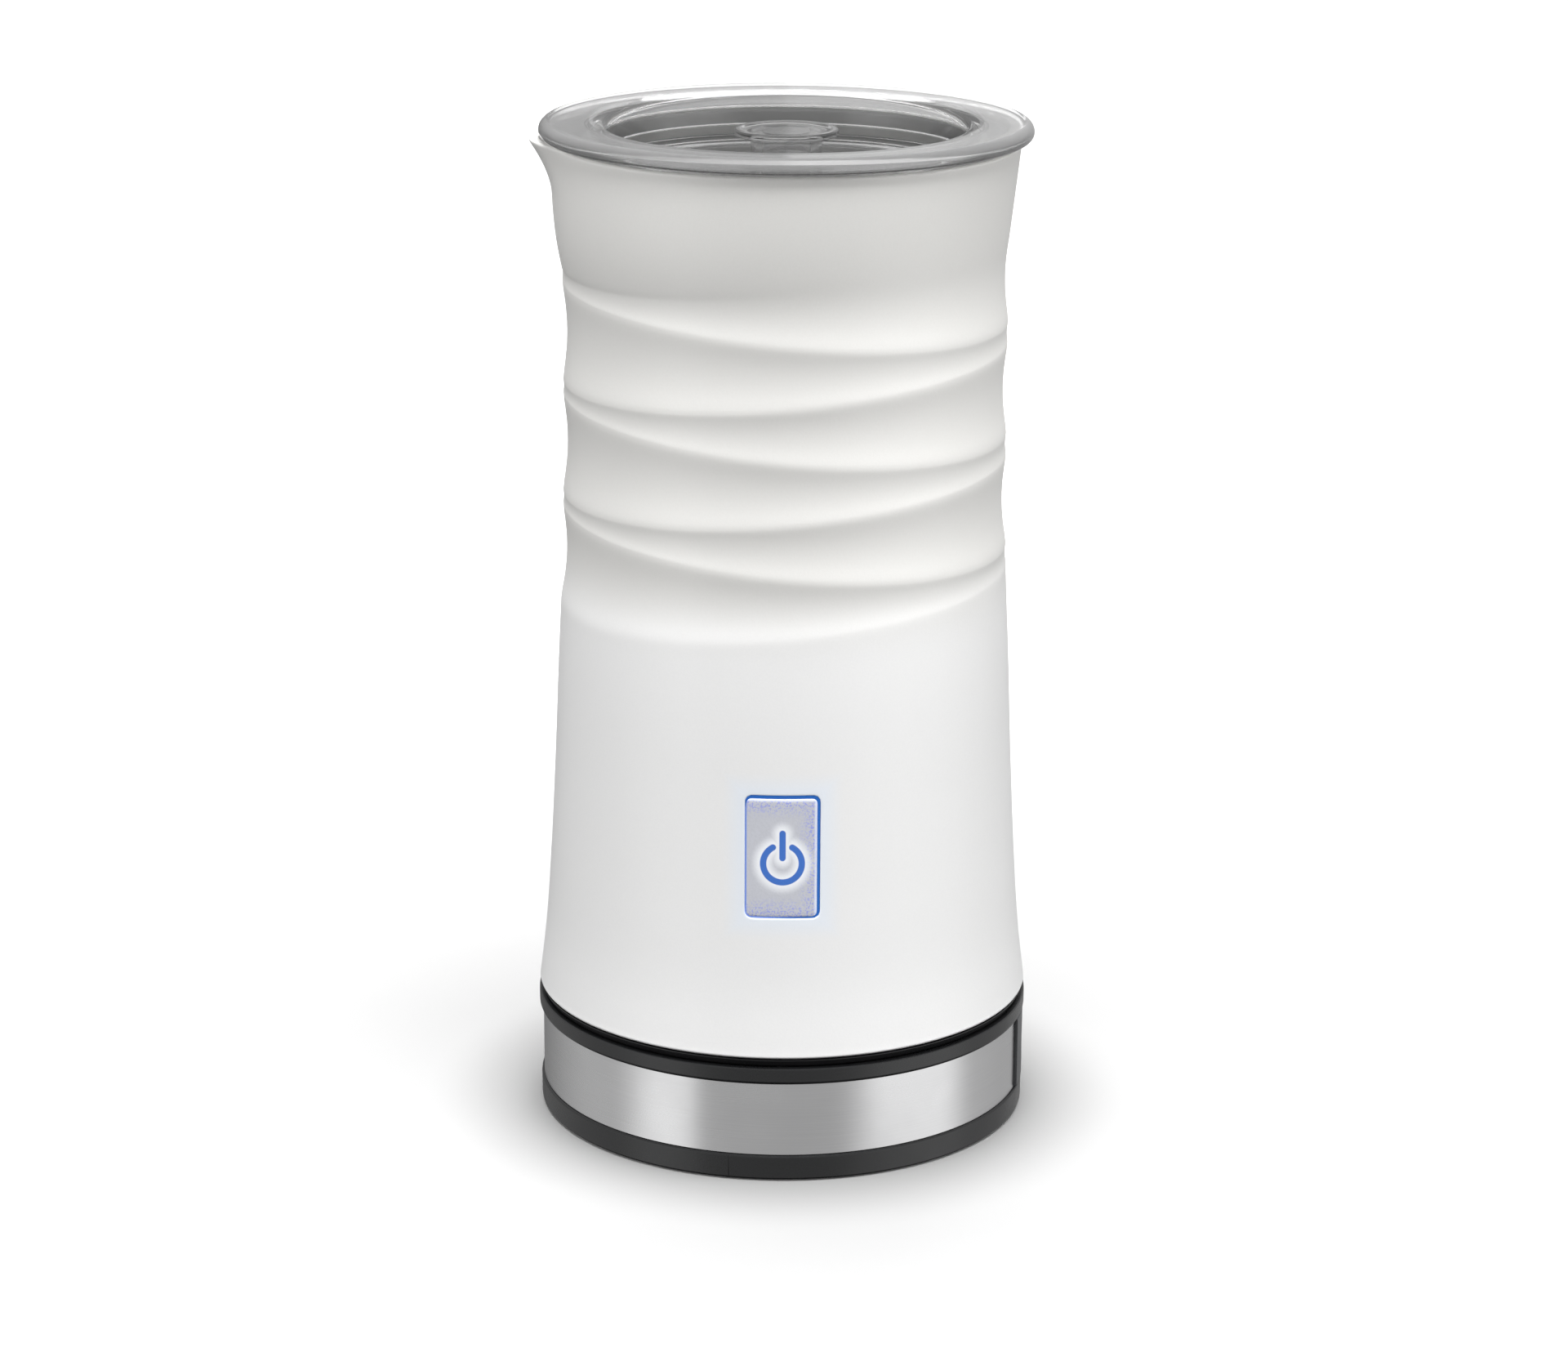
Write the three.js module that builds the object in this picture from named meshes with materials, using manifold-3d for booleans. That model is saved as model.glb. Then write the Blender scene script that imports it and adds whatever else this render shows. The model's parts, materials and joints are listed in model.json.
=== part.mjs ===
// Electric milk frother: a fluted jug with a heated steel cup and a magnetic whisk, on a power base.
// Millimetres, +Z up. The origin is on the jug's axis, on the surface that the feet stand on.
// The button faces -Y, the pouring lip points to -X and the cord leaves the base towards +X.

import * as THREE from "three";
import { mergeVertices } from "three/addons/utils/BufferGeometryUtils.js";
import Module from "manifold-3d";

const wasm = await Module();
wasm.setup();

// ---------------------------------------------------------------- driving dimensions

const GAP = 0.3; // between pieces that touch
const LARGE_SIDES = 36;
const MEDIUM_SIDES = 20;
const SMALL_SIDES = 8;

// Power base
const BASE_RADIUS = 50;
const FEET_PROUD = 0.6;
const BAND_LOW = 5.4;
const BAND_HIGH = 20.7;
const BAND_RADIUS = 49.3;
const BAND_THICK = 0.6;
const BASE_TOP = 23.1;
const BASE_WALL = 2;
const BASE_FLOOR = 2.4;
const BASE_EDGE = 1;
const SPIGOT_DEPTH = 3;
const DRIP_GROOVE_RADIUS = 26;
const DRIP_GROOVE_DEPTH = 0.8;
const FOOT_RADIUS = 5;
const FOOT_HEIGHT = 1.5;
const FOOT_RING = 38;
const BASE_SCREW_RING = 34;

// Cord outlet: a block in the band's opening, with a rubber gland set just below its face
const CORD_BLOCK_HALF_ANGLE = THREE.MathUtils.degToRad(14);
const CORD_BLOCK_DEPTH = 3;
const CORD_RADIUS = 3.4;
const CORD_HEIGHT = (BAND_LOW + BAND_HIGH) / 2;
const GLAND_SLEEVE = CORD_RADIUS + 1.2;
const GLAND_FLANGE = CORD_RADIUS + 2.4;
const GLAND_FLANGE_THICK = 1.3;
const GLAND_FACE = BASE_RADIUS - 0.4;
const GLAND_LENGTH = 6;
const CLAMP_X = 36;
const CLAMP_SCREW_Y = 8.2;
const CLAMP_WIDTH = 6;
const CLAMP_TOP = 18;

// Screws, all with a slightly domed head
const BASE_SCREW = { headRadius: 2.7, headHeight: 1, shankRadius: 1.3, length: 11 };
const CLAMP_SCREW = { headRadius: 2.5, headHeight: 1.2, shankRadius: 1.2, length: 12 };
const JUG_SCREW = { headRadius: 2.4, headHeight: 1, shankRadius: 1.2, length: 11 };
const BOARD_SCREW = { headRadius: 2.3, headHeight: 1, shankRadius: 1.2, length: 3.6 };
const MOTOR_SCREW = { headRadius: 2.3, headHeight: 1.2, shankRadius: 1.1, length: 6.5 };

// Plug-in connector between the base and the jug, the same at every angle
const TOWER_RADIUS = 11.4;
const TOWER_TOP = 30.5;
const TOWER_FLOOR = 4;
const TOWER_FLANGE = TOWER_RADIUS + 5.5;
const TOWER_FLANGE_THICK = 2.4;
const SLOT_FLOOR = 16;
const SLOT_INNER = 5.6;
const SLOT_OUTER = 8.2;
const PIN_HOLE = 2.6;
const SOCKET_INNER = 12;
const SOCKET_OUTER = 14.5;
const SOCKET_FLANGE = 18;
const SOCKET_ROOF = 3;
const CONTACT_HEIGHT = 4;
const BLADE_THICK = 0.8;

// Jug
const JUG_BOTTOM = 23.4;
const BOTTOM_COVER_SLANT = 0.9;
const SHELL_BOTTOM = 26;
const SHELL_TOP = 201.2;
const SHELL_BOTTOM_RADIUS = 50.4;
const WAIST_RADIUS = 44.6;
const RIM_RADIUS = 46.6;
const SHELL_WALL = 2.4;
const RIM_EDGE = 0.6;
const LEDGE_HEIGHT = 197;
const LEDGE_WIDTH = 1.3;
const LEDGE_DEPTH = 7;
const LINER_TOP = 180;
const BOTTOM_SCREW_RING = 44.8;

// The jug's outline from its foot to its waist, as [radius, height]
const JUG_OUTLINE = [
  [SHELL_BOTTOM_RADIUS, SHELL_BOTTOM],
  [49, 38],
  [47.85, 54],
  [46.9, 72],
  [45.9, 96],
  [WAIST_RADIUS + 0.3, 118],
  [WAIST_RADIUS, 136],
];

// Relief round the jug: crests that lean to either side in turn, with hollow flutes between them
const CREST_COUNT = 7;
const TOP_CREST = 178.7;
const CREST_PITCH = 11.4;
const CREST_SWING = 4.1;
const CREST_LEAN = THREE.MathUtils.degToRad(15);
const FLUTE_DEPTH_PER_WIDTH = 0.053;
const CREST_ROUNDING = 0.25;
const ROWS_PER_FLUTE = 3;

// Pouring lip
const LIP_START = 191;
const LIP_REACH = 4.7;
const LIP_ANGLE = -Math.PI / 2;
const LIP_HALF_WIDTH = THREE.MathUtils.degToRad(13);
const LIP_CURVE = 1.6;

// Cup
const CUP_FLOOR = 84;
const CUP_WALL = 1;
const CUP_FLOOR_RADIUS = 37.5;
const CUP_CORNER = 6;
const CUP_NECK_RADIUS = 39.6;
const CUP_NECK = 188;
const CUP_MOUTH_RADIUS = 41.8;
const CUP_MOUTH = 196;
const CUP_RIM_RADIUS = 44;
const CUP_TOP = 200.2;
const CUP_SEAT_CLEARANCE = 0.4;

// Button, its light guide and the board behind it
const BUTTON_WIDTH = 14.8;
const BUTTON_HEIGHT = 25;
const BUTTON_CENTER = 67.5;
const BUTTON_CORNER = 1.3;
const BUTTON_THICK = 2.5;
const BUTTON_TRAVEL = 0.8;
const LIGHT_LIP = 0.5;
const GUIDE_FRONT = 42.5;
const GUIDE_BACK = 41;
const BOARD_FRONT = 40;
const BOARD_THICK = 1.6;
const BOARD_WIDTH = 26;
const BOARD_LOW = 46.5;
const BOARD_HIGH = 82;
const GUIDE_WIDTH = 21;
const SWITCH_WIDTH = 6;
const LED_OFFSET = 10;
const BOARD_SCREW_X = 9;
const BOARD_SCREW_Z = 49.5;

// Heater and stirring drive
const HEATER_PLATE_THICK = 3;
const HEATER_PLATE_INNER = 18;
const HEATER_PLATE_OUTER = 36;
const ELEMENT_RING = 31;
const ELEMENT_RADIUS = 2.8;
const SENSOR_RING = 22.6;
const MOTOR_RADIUS = 12;
const MOTOR_BOTTOM = 40.5;
const MOTOR_TOP = 58;
const MOTOR_SCREW_X = 7;
const BRACKET_RADIUS = 25;
const BRACKET_THICK = 1.6;
const SHAFT_RADIUS = 1.2;
const MAGNET_RING = 8.8;
const ROTOR_MAGNET = { radius: 4, height: 2.6 };
const WHISK_MAGNET = { radius: 3, height: 2.2 };
const MAGNET_HOLDER_RADIUS = 14;
const MAGNET_HOLDER_TOP = 80;
const MAGNET_HOLDER_THICK = 3.5;

// Whisk
const WHISK_BOTTOM = 84.8;
const WHISK_DISC_TOP = 89;
const WHISK_DISC_RADIUS = 13;
const WHISK_TOP = 99.5;
const WHISK_NECK_RADIUS = 5;
const WHISK_PIN_RADIUS = 1.8;
const COIL_RING = 15.5;
const COIL_RADIUS = 2.4;
const COIL_TURNS = 12;
const COIL_WIRE = 0.5;

// Lid
const LID_RADIUS = 49;
const LID_TOP = 204.4;
const LID_FLANGE_BOTTOM = 201.5;
const LID_FLOOR = 195.2;
const LID_FLOOR_THICK = 2;
const LID_PLUG_RADIUS = 39;
const DISH_SHOULDER_RADIUS = 39.1;
const DISH_MOUTH_RADIUS = 35.8;
const DISH_FLOOR_RADIUS = 34;
const KNOB_RADIUS = 10.4;
const KNOB_TOP = 203.2;
const KNOB_STEM = 7.1;
const KNOB_HOLLOW = 4.8;
const KNOB_DISC_THICK = 1.4;
const KNOB_BOSS_HEIGHT = 3.5;
const SEAL_OUTER = 41.2;
const SEAL_GROOVE_DEPTH = 0.9;
const SEAL_GROOVE_HEIGHT = 2.8;

// ---------------------------------------------------------------- materials

const finish = (color, roughness, metalness = 0) => ({ color, roughness, metalness });
const WHITE_PLASTIC = finish(0xeeedea, 0.38);
const BLACK_PLASTIC = finish(0x17181a, 0.35);
const GREY_PLASTIC = finish(0x45474b, 0.5);
const BRUSHED_STEEL = finish(0xb9bbbe, 0.3, 1);
const BARE_STEEL = finish(0x9a9c9f, 0.25, 1);
const CLEAR_PLASTIC = { ...finish(0xe6eaec, 0.08), transparent: true, opacity: 0.35 };
const LIT_PLASTIC = finish(0x4f7fe0, 0.3);
const KEY_PLASTIC = finish(0xc5c6d0, 0.45);
const SILICONE = finish(0xd8d8d4, 0.7);
const RUBBER = finish(0x222222, 0.85);
const BRASS = finish(0xb08d4a, 0.35, 1);
const ALUMINIUM = finish(0xb4b7ba, 0.45, 1);
const MAGNET_PLATE = finish(0x8d8f92, 0.3, 1);
const BOARD_GREEN = finish(0x1e5b38, 0.6);

// ---------------------------------------------------------------- solids from three.js shapes

// Turns a closed geometry into a solid, with its shared corners merged and its faces pointing out.
function solid(geometry) {
  geometry.deleteAttribute("normal");
  geometry.deleteAttribute("uv");
  const welded = mergeVertices(geometry);
  const position = welded.getAttribute("position");
  const corners = [0, 1, 2].map(() => new THREE.Vector3());
  const triangles = [];
  let volume = 0;
  for (let first = 0; first < welded.index.count; first += 3) {
    const [a, b, c] = [0, 1, 2].map((step) => welded.index.getX(first + step));
    if (a === b || b === c || c === a) continue;
    triangles.push(a, b, c);
    [a, b, c].forEach((vertex, i) => corners[i].fromBufferAttribute(position, vertex));
    volume += corners[0].dot(corners[1].cross(corners[2]));
  }
  if (volume < 0) triangles.reverse();
  return new wasm.Manifold(
    new wasm.Mesh({
      numProp: 3,
      vertProperties: new Float32Array(position.array),
      triVerts: new Uint32Array(triangles),
    }),
  );
}

function join(...solids) {
  return solids.reduce((whole, next) => whole.add(next));
}

function cut(whole, ...tools) {
  return tools.reduce((left, tool) => left.subtract(tool), whole);
}

// A solid turned about Z from an outline of [radius, height] points. Angle 0 faces -Y.
function turnedGeometry(outline, sides) {
  const points = outline.map(([radius, height]) => new THREE.Vector2(radius, height));
  const onAxis = points[0].x === 0 && points.at(-1).x === 0;
  if (!onAxis) points.push(points[0].clone());
  return new THREE.LatheGeometry(points, sides).rotateX(Math.PI / 2);
}

function turned(outline, sides = LARGE_SIDES) {
  return solid(turnedGeometry(outline, sides));
}

function ring(inner, outer, low, high, sides = LARGE_SIDES) {
  return turned([[inner, low], [outer, low], [outer, high], [inner, high]], sides);
}

function disc(radius, low, high, sides = MEDIUM_SIDES) {
  return turned([[0, low], [radius, low], [radius, high], [0, high]], sides);
}

function box(width, depth, height, x, y, z) {
  return solid(new THREE.BoxGeometry(width, depth, height).translate(x, y, z));
}

// Points on a round stretch of an outline, from one angle to another in degrees.
function arc(centerRadius, centerHeight, radius, from, to, steps = 4) {
  return Array.from({ length: steps + 1 }, (_, i) => {
    const angle = THREE.MathUtils.degToRad(from + ((to - from) * i) / steps);
    return [centerRadius + radius * Math.cos(angle), centerHeight + radius * Math.sin(angle)];
  });
}

function roundedRectangle(width, height, corner) {
  const [x, y] = [width / 2 - corner, height / 2 - corner];
  const shape = new THREE.Shape();
  shape.absarc(x, -y, corner, -Math.PI / 2, 0);
  shape.absarc(x, y, corner, 0, Math.PI / 2);
  shape.absarc(-x, y, corner, Math.PI / 2, Math.PI);
  shape.absarc(-x, -y, corner, Math.PI, 1.5 * Math.PI);
  shape.closePath();
  return shape;
}

// A shape drawn as seen from the front, made solid from y = -near to y = -far.
function facingFront(shape, near, far, height) {
  const geometry = new THREE.ExtrudeGeometry(shape, {
    depth: far - near,
    bevelEnabled: false,
    curveSegments: 4,
  });
  return solid(geometry.translate(0, 0, near).rotateX(Math.PI / 2).translate(0, 0, height));
}

function circlePositions(count, radius, startDegrees = 0) {
  return Array.from({ length: count }, (_, i) => {
    const angle = THREE.MathUtils.degToRad(startDegrees + (360 * i) / count);
    return [radius * Math.cos(angle), radius * Math.sin(angle)];
  });
}

function holes(positions, radius, low, high, sides = SMALL_SIDES) {
  return positions.map(([x, y]) => disc(radius, low, high, sides).translate([x, y, 0]));
}

// A screw with its head below and its shank pointing up, with z = 0 under the head.
function screw({ headRadius, headHeight, shankRadius, length }) {
  return turned(
    [
      [0, -headHeight],
      [headRadius * 0.8, -headHeight],
      [headRadius, -headHeight * 0.6],
      [headRadius, 0],
      [shankRadius, 0],
      [shankRadius, length - shankRadius],
      [0, length],
    ],
    SMALL_SIDES,
  );
}

function mesh(name, body, look, position = [0, 0, 0], rotation = [0, 0, 0]) {
  const { vertProperties, triVerts } = body.getMesh();
  const geometry = new THREE.BufferGeometry();
  geometry.setAttribute("position", new THREE.BufferAttribute(new Float32Array(vertProperties), 3));
  geometry.setIndex(new THREE.BufferAttribute(new Uint32Array(triVerts), 1));
  geometry.computeVertexNormals();
  const part = new THREE.Mesh(geometry, new THREE.MeshStandardMaterial(look));
  part.name = name;
  part.position.set(...position);
  part.rotation.set(...rotation);
  return part;
}

// ---------------------------------------------------------------- outer form of the jug

const jugCurve = new THREE.SplineCurve(
  JUG_OUTLINE.map(([radius, height]) => new THREE.Vector2(radius, height)),
);

// Radius of the smooth envelope that the crests touch, below the flared top.
function envelope(height) {
  let [low, high] = [0, 1];
  while (high - low > 1e-4) {
    const middle = (low + high) / 2;
    if (jugCurve.getPoint(middle).y < height) low = middle;
    else high = middle;
  }
  return jugCurve.getPoint(low).x;
}

// Height of one crest at an angle round the jug; odd crests lean the other way.
function crestHeight(index, angle) {
  const lean = index % 2 === 0 ? Math.sin(angle - CREST_LEAN) : -Math.sin(angle + CREST_LEAN);
  return TOP_CREST - CREST_PITCH * index + CREST_SWING * lean;
}

// How far a flute is hollowed at a share of its width.
function fluteDepth(share, width) {
  const hollow = 4 * share * (1 - share);
  const rounded = Math.hypot(hollow, CREST_ROUNDING) - CREST_ROUNDING;
  return FLUTE_DEPTH_PER_WIDTH * width * rounded;
}

// How far the pouring lip pulls the rim outwards.
function lipReach(angle, height) {
  const rise = Math.max(0, (height - LIP_START) / (SHELL_TOP - LIP_START));
  const turn = Math.atan2(Math.sin(angle - LIP_ANGLE), Math.cos(angle - LIP_ANGLE));
  return LIP_REACH * rise ** LIP_CURVE * Math.exp(-((turn / LIP_HALF_WIDTH) ** 2));
}

// Where a point of the plain turned wall lies once the crests and flutes are formed in it.
function reliefPoint(angle, plainHeight) {
  const lastCrest = CREST_COUNT - 1;
  const plainLowest = TOP_CREST - CREST_PITCH * lastCrest;
  const [highest, lowest] = [crestHeight(0, angle), crestHeight(lastCrest, angle)];
  if (plainHeight >= TOP_CREST) {
    const share = (plainHeight - TOP_CREST) / (SHELL_TOP - TOP_CREST);
    const flare = 1 - (1 - share) ** (2 - Math.sin(angle));
    const height = highest + share * (SHELL_TOP - highest);
    return [WAIST_RADIUS + (RIM_RADIUS - WAIST_RADIUS) * flare, height];
  }
  if (plainHeight <= plainLowest) {
    const share = (plainHeight - SHELL_BOTTOM) / (plainLowest - SHELL_BOTTOM);
    const height = SHELL_BOTTOM + share * (lowest - SHELL_BOTTOM);
    return [envelope(height), height];
  }
  const steps = (TOP_CREST - plainHeight) / CREST_PITCH;
  const index = Math.floor(steps);
  const [upper, lower] = [crestHeight(index, angle), crestHeight(index + 1, angle)];
  const height = upper - (steps - index) * (upper - lower);
  return [envelope(height) - fluteDepth(steps - index, upper - lower), height];
}

// Moves every vertex of a turned geometry by a rule on its angle, radius and height.
function reshape(geometry, rule) {
  const position = geometry.getAttribute("position");
  for (let i = 0; i < position.count; i++) {
    const [x, y, z] = [position.getX(i), position.getY(i), position.getZ(i)];
    const angle = Math.atan2(x, -y);
    const [radius, height] = rule(angle, Math.hypot(x, y), z, i);
    position.setXYZ(i, radius * Math.sin(angle), -radius * Math.cos(angle), height);
  }
  return geometry;
}

function withLip(geometry) {
  return reshape(geometry, (angle, radius, height) => [radius + lipReach(angle, height), height]);
}

function evenSteps(from, to, count) {
  return Array.from({ length: count }, (_, i) => from + ((to - from) * i) / count);
}

// The jug's outer form up to its waist, as one block a little inside the surface.
function lowerCore(inset) {
  const heights = evenSteps(SHELL_BOTTOM, TOP_CREST - CREST_PITCH * CREST_COUNT, 8);
  const side = heights.map((height) => [envelope(height) - inset, height]);
  return turned([[0, heights[0]], ...side, [0, heights.at(-1)]]);
}

// ---------------------------------------------------------------- power base

const footPositions = circlePositions(4, FOOT_RING, 45);
const baseScrewPositions = circlePositions(3, BASE_SCREW_RING, 60);
const clampScrewPositions = [[CLAMP_X, -CLAMP_SCREW_Y], [CLAMP_X, CLAMP_SCREW_Y]];
const clampPostRadius = CLAMP_SCREW.shankRadius + BASE_WALL;
const baseScrewSeat = FEET_PROUD + BASE_SCREW.headHeight + GAP;
const baseFloorTop = FEET_PROUD + BASE_FLOOR;
const baseWallOuter = BAND_RADIUS - BAND_THICK - GAP;

function alongX(body) {
  return body.rotate([0, 90, 0]).translate([0, 0, CORD_HEIGHT]);
}

function cordBlock() {
  const shape = new THREE.Shape();
  const half = CORD_BLOCK_HALF_ANGLE;
  shape.absarc(0, 0, BASE_RADIUS, -half, half);
  shape.absarc(0, 0, BASE_RADIUS - CORD_BLOCK_DEPTH, half, -half, true);
  shape.closePath();
  const low = BAND_LOW - 1;
  const depth = BAND_HIGH - GAP - low;
  const block = new THREE.ExtrudeGeometry(shape, { depth, bevelEnabled: false, curveSegments: 6 });
  return solid(block.translate(0, 0, low));
}

// The hole for the gland, with a wider seat for its flange.
function glandSeat() {
  const seat = GLAND_FACE - GLAND_FLANGE_THICK - GAP;
  return join(
    alongX(disc(GLAND_SLEEVE + GAP, GLAND_FACE - 2 * GLAND_LENGTH, GLAND_FACE + 1)),
    alongX(disc(GLAND_FLANGE + GAP, seat, GLAND_FACE + 1)),
  );
}

function lowerHousing() {
  const outer = BASE_RADIUS - 0.2;
  const wallInner = baseWallOuter - BASE_WALL;
  const pan = turned([
    [0, FEET_PROUD],
    ...arc(outer - BASE_EDGE, FEET_PROUD + BASE_EDGE, BASE_EDGE, -90, 0),
    [outer, BAND_LOW],
    [baseWallOuter, BAND_LOW],
    [baseWallOuter, BAND_HIGH - GAP],
    [wallInner, BAND_HIGH - GAP],
    [wallInner, baseFloorTop],
    [0, baseFloorTop],
  ]);
  const posts = holes(clampScrewPositions, clampPostRadius, baseFloorTop - 1, CORD_HEIGHT - GAP);
  const pilotLow = CLAMP_TOP - CLAMP_SCREW.length - 1;
  return cut(
    join(pan, cordBlock(), ...posts),
    glandSeat(),
    ...holes(footPositions, FOOT_RADIUS + GAP, 0, FOOT_HEIGHT + GAP, MEDIUM_SIDES),
    ...holes(baseScrewPositions, BASE_SCREW.headRadius + GAP, 0, baseScrewSeat),
    ...holes(baseScrewPositions, BASE_SCREW.shankRadius + GAP, 0, baseFloorTop + 1),
    ...holes(clampScrewPositions, CLAMP_SCREW.shankRadius + GAP, pilotLow, CORD_HEIGHT),
  );
}

function steelBand() {
  const half = CORD_BLOCK_HALF_ANGLE + (2 * GAP) / BASE_RADIUS;
  const whole = ring(BAND_RADIUS - BAND_THICK, BAND_RADIUS, BAND_LOW + GAP, BAND_HIGH - GAP);
  const [reach, spread] = [BASE_RADIUS * 1.2, BASE_RADIUS * 1.2 * Math.tan(half)];
  const wedge = new THREE.Shape([
    new THREE.Vector2(0, 0),
    new THREE.Vector2(reach, -spread),
    new THREE.Vector2(reach, spread),
  ]);
  const opening = new THREE.ExtrudeGeometry(wedge, { depth: BASE_TOP, bevelEnabled: false });
  return cut(whole, solid(opening));
}

function baseTopCover() {
  const outer = BASE_RADIUS + 0.1;
  const edge = 0.4;
  const bore = TOWER_RADIUS + GAP;
  const spigotOuter = baseWallOuter - BASE_WALL - GAP;
  const plate = turned([
    [bore, BAND_HIGH],
    [spigotOuter - BASE_WALL, BAND_HIGH],
    [spigotOuter - BASE_WALL, BAND_HIGH - SPIGOT_DEPTH],
    [spigotOuter, BAND_HIGH - SPIGOT_DEPTH],
    [spigotOuter, BAND_HIGH],
    [outer - edge, BAND_HIGH],
    [outer, BAND_HIGH + edge],
    [outer, BASE_TOP - edge],
    [outer - edge, BASE_TOP],
    [DRIP_GROOVE_RADIUS + 2, BASE_TOP],
    [DRIP_GROOVE_RADIUS + 1, BASE_TOP - DRIP_GROOVE_DEPTH],
    [DRIP_GROOVE_RADIUS - 1, BASE_TOP - DRIP_GROOVE_DEPTH],
    [DRIP_GROOVE_RADIUS - 2, BASE_TOP],
    [bore, BASE_TOP],
  ]);
  const postLow = baseFloorTop + GAP;
  const postRadius = BASE_SCREW.shankRadius + BASE_WALL;
  const posts = holes(baseScrewPositions, postRadius, postLow, BAND_HIGH + 1);
  const pilotTop = baseScrewSeat + BASE_SCREW.length + 1;
  const pilots = holes(baseScrewPositions, BASE_SCREW.shankRadius + GAP, postLow - 1, pilotTop);
  return cut(join(plate, ...posts), ...pilots);
}

function baseConnector() {
  const flangeTop = BAND_HIGH - GAP;
  const flangeLow = flangeTop - TOWER_FLANGE_THICK;
  return turned(
    [
      [0, SLOT_FLOOR - TOWER_FLOOR],
      [TOWER_RADIUS, SLOT_FLOOR - TOWER_FLOOR],
      [TOWER_RADIUS, flangeLow],
      [TOWER_FLANGE, flangeLow],
      [TOWER_FLANGE, flangeTop],
      [TOWER_RADIUS, flangeTop],
      [TOWER_RADIUS, TOWER_TOP - 1],
      [TOWER_RADIUS - 1, TOWER_TOP],
      [SLOT_OUTER, TOWER_TOP],
      [SLOT_OUTER, SLOT_FLOOR],
      [SLOT_INNER, SLOT_FLOOR],
      [SLOT_INNER, TOWER_TOP],
      [PIN_HOLE, TOWER_TOP],
      [PIN_HOLE, SLOT_FLOOR],
      [0, SLOT_FLOOR],
    ],
    MEDIUM_SIDES,
  );
}

const contactLow = SLOT_FLOOR + GAP;
const contactHigh = SLOT_FLOOR + CONTACT_HEIGHT;

function cordGland() {
  const seat = GLAND_FACE - GLAND_FLANGE_THICK;
  const edge = GLAND_FLANGE_THICK / 2;
  return alongX(
    turned(
      [
        [CORD_RADIUS, GLAND_FACE - GLAND_LENGTH],
        [GLAND_SLEEVE, GLAND_FACE - GLAND_LENGTH],
        [GLAND_SLEEVE, seat],
        [GLAND_FLANGE, seat],
        [GLAND_FLANGE, GLAND_FACE - edge],
        [GLAND_FLANGE - edge, GLAND_FACE],
        [CORD_RADIUS, GLAND_FACE],
      ],
      MEDIUM_SIDES,
    ),
  );
}

function cordClamp() {
  const depth = 2 * (CLAMP_SCREW_Y + clampPostRadius);
  const [height, middle] = [CLAMP_TOP - CORD_HEIGHT, (CLAMP_TOP + CORD_HEIGHT) / 2];
  const bar = box(CLAMP_WIDTH, depth, height, CLAMP_X, 0, middle);
  const arch = alongX(
    disc(CORD_RADIUS + 2 * GAP, CLAMP_X - CLAMP_WIDTH, CLAMP_X + CLAMP_WIDTH, SMALL_SIDES),
  );
  const holeRadius = CLAMP_SCREW.shankRadius + GAP;
  return cut(bar, arch, ...holes(clampScrewPositions, holeRadius, CORD_HEIGHT - 1, CLAMP_TOP + 1));
}

function powerBase() {
  const base = new THREE.Group();
  const edge = 0.4;
  const foot = turned(
    [
      [0, 0],
      [FOOT_RADIUS - edge, 0],
      [FOOT_RADIUS, edge],
      [FOOT_RADIUS, FOOT_HEIGHT],
      [0, FOOT_HEIGHT],
    ],
    MEDIUM_SIDES,
  );
  base.add(
    mesh("base_lower_housing", lowerHousing(), BLACK_PLASTIC),
    mesh("base_top_cover", baseTopCover(), BLACK_PLASTIC),
    mesh("steel_band", steelBand(), BRUSHED_STEEL),
    mesh("base_connector", baseConnector(), BLACK_PLASTIC),
    mesh(
      "base_center_contact",
      disc(PIN_HOLE - GAP, contactLow, contactHigh, SMALL_SIDES),
      BRASS,
    ),
    mesh(
      "base_ring_contact",
      ring(SLOT_INNER + GAP, SLOT_OUTER - GAP, contactLow, contactHigh, MEDIUM_SIDES),
      BRASS,
    ),
    mesh("cord_gland", cordGland(), RUBBER),
    mesh("cord_clamp", cordClamp(), GREY_PLASTIC),
  );
  clampScrewPositions.forEach(([x, y], i) => {
    const place = [x, y, CLAMP_TOP + GAP];
    base.add(mesh(`clamp_screw_${i + 1}`, screw(CLAMP_SCREW), BARE_STEEL, place, [Math.PI, 0, 0]));
  });
  footPositions.forEach(([x, y], i) => {
    base.add(mesh(`foot_${i + 1}`, foot, RUBBER, [x, y, 0]));
  });
  baseScrewPositions.forEach(([x, y], i) => {
    const place = [x, y, baseScrewSeat - GAP];
    base.add(mesh(`base_screw_${i + 1}`, screw(BASE_SCREW), BARE_STEEL, place));
  });
  return base;
}

// ---------------------------------------------------------------- connector half on the jug

const bladeMiddle = (SLOT_INNER + SLOT_OUTER) / 2;
const [bladeInner, bladeOuter] = [bladeMiddle - BLADE_THICK / 2, bladeMiddle + BLADE_THICK / 2];
const bladeLow = contactHigh + GAP;
const roofLow = TOWER_TOP + 2 * GAP;
const roofHigh = roofLow + SOCKET_ROOF;
const grooveTop = roofLow + SOCKET_ROOF / 2;

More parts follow.
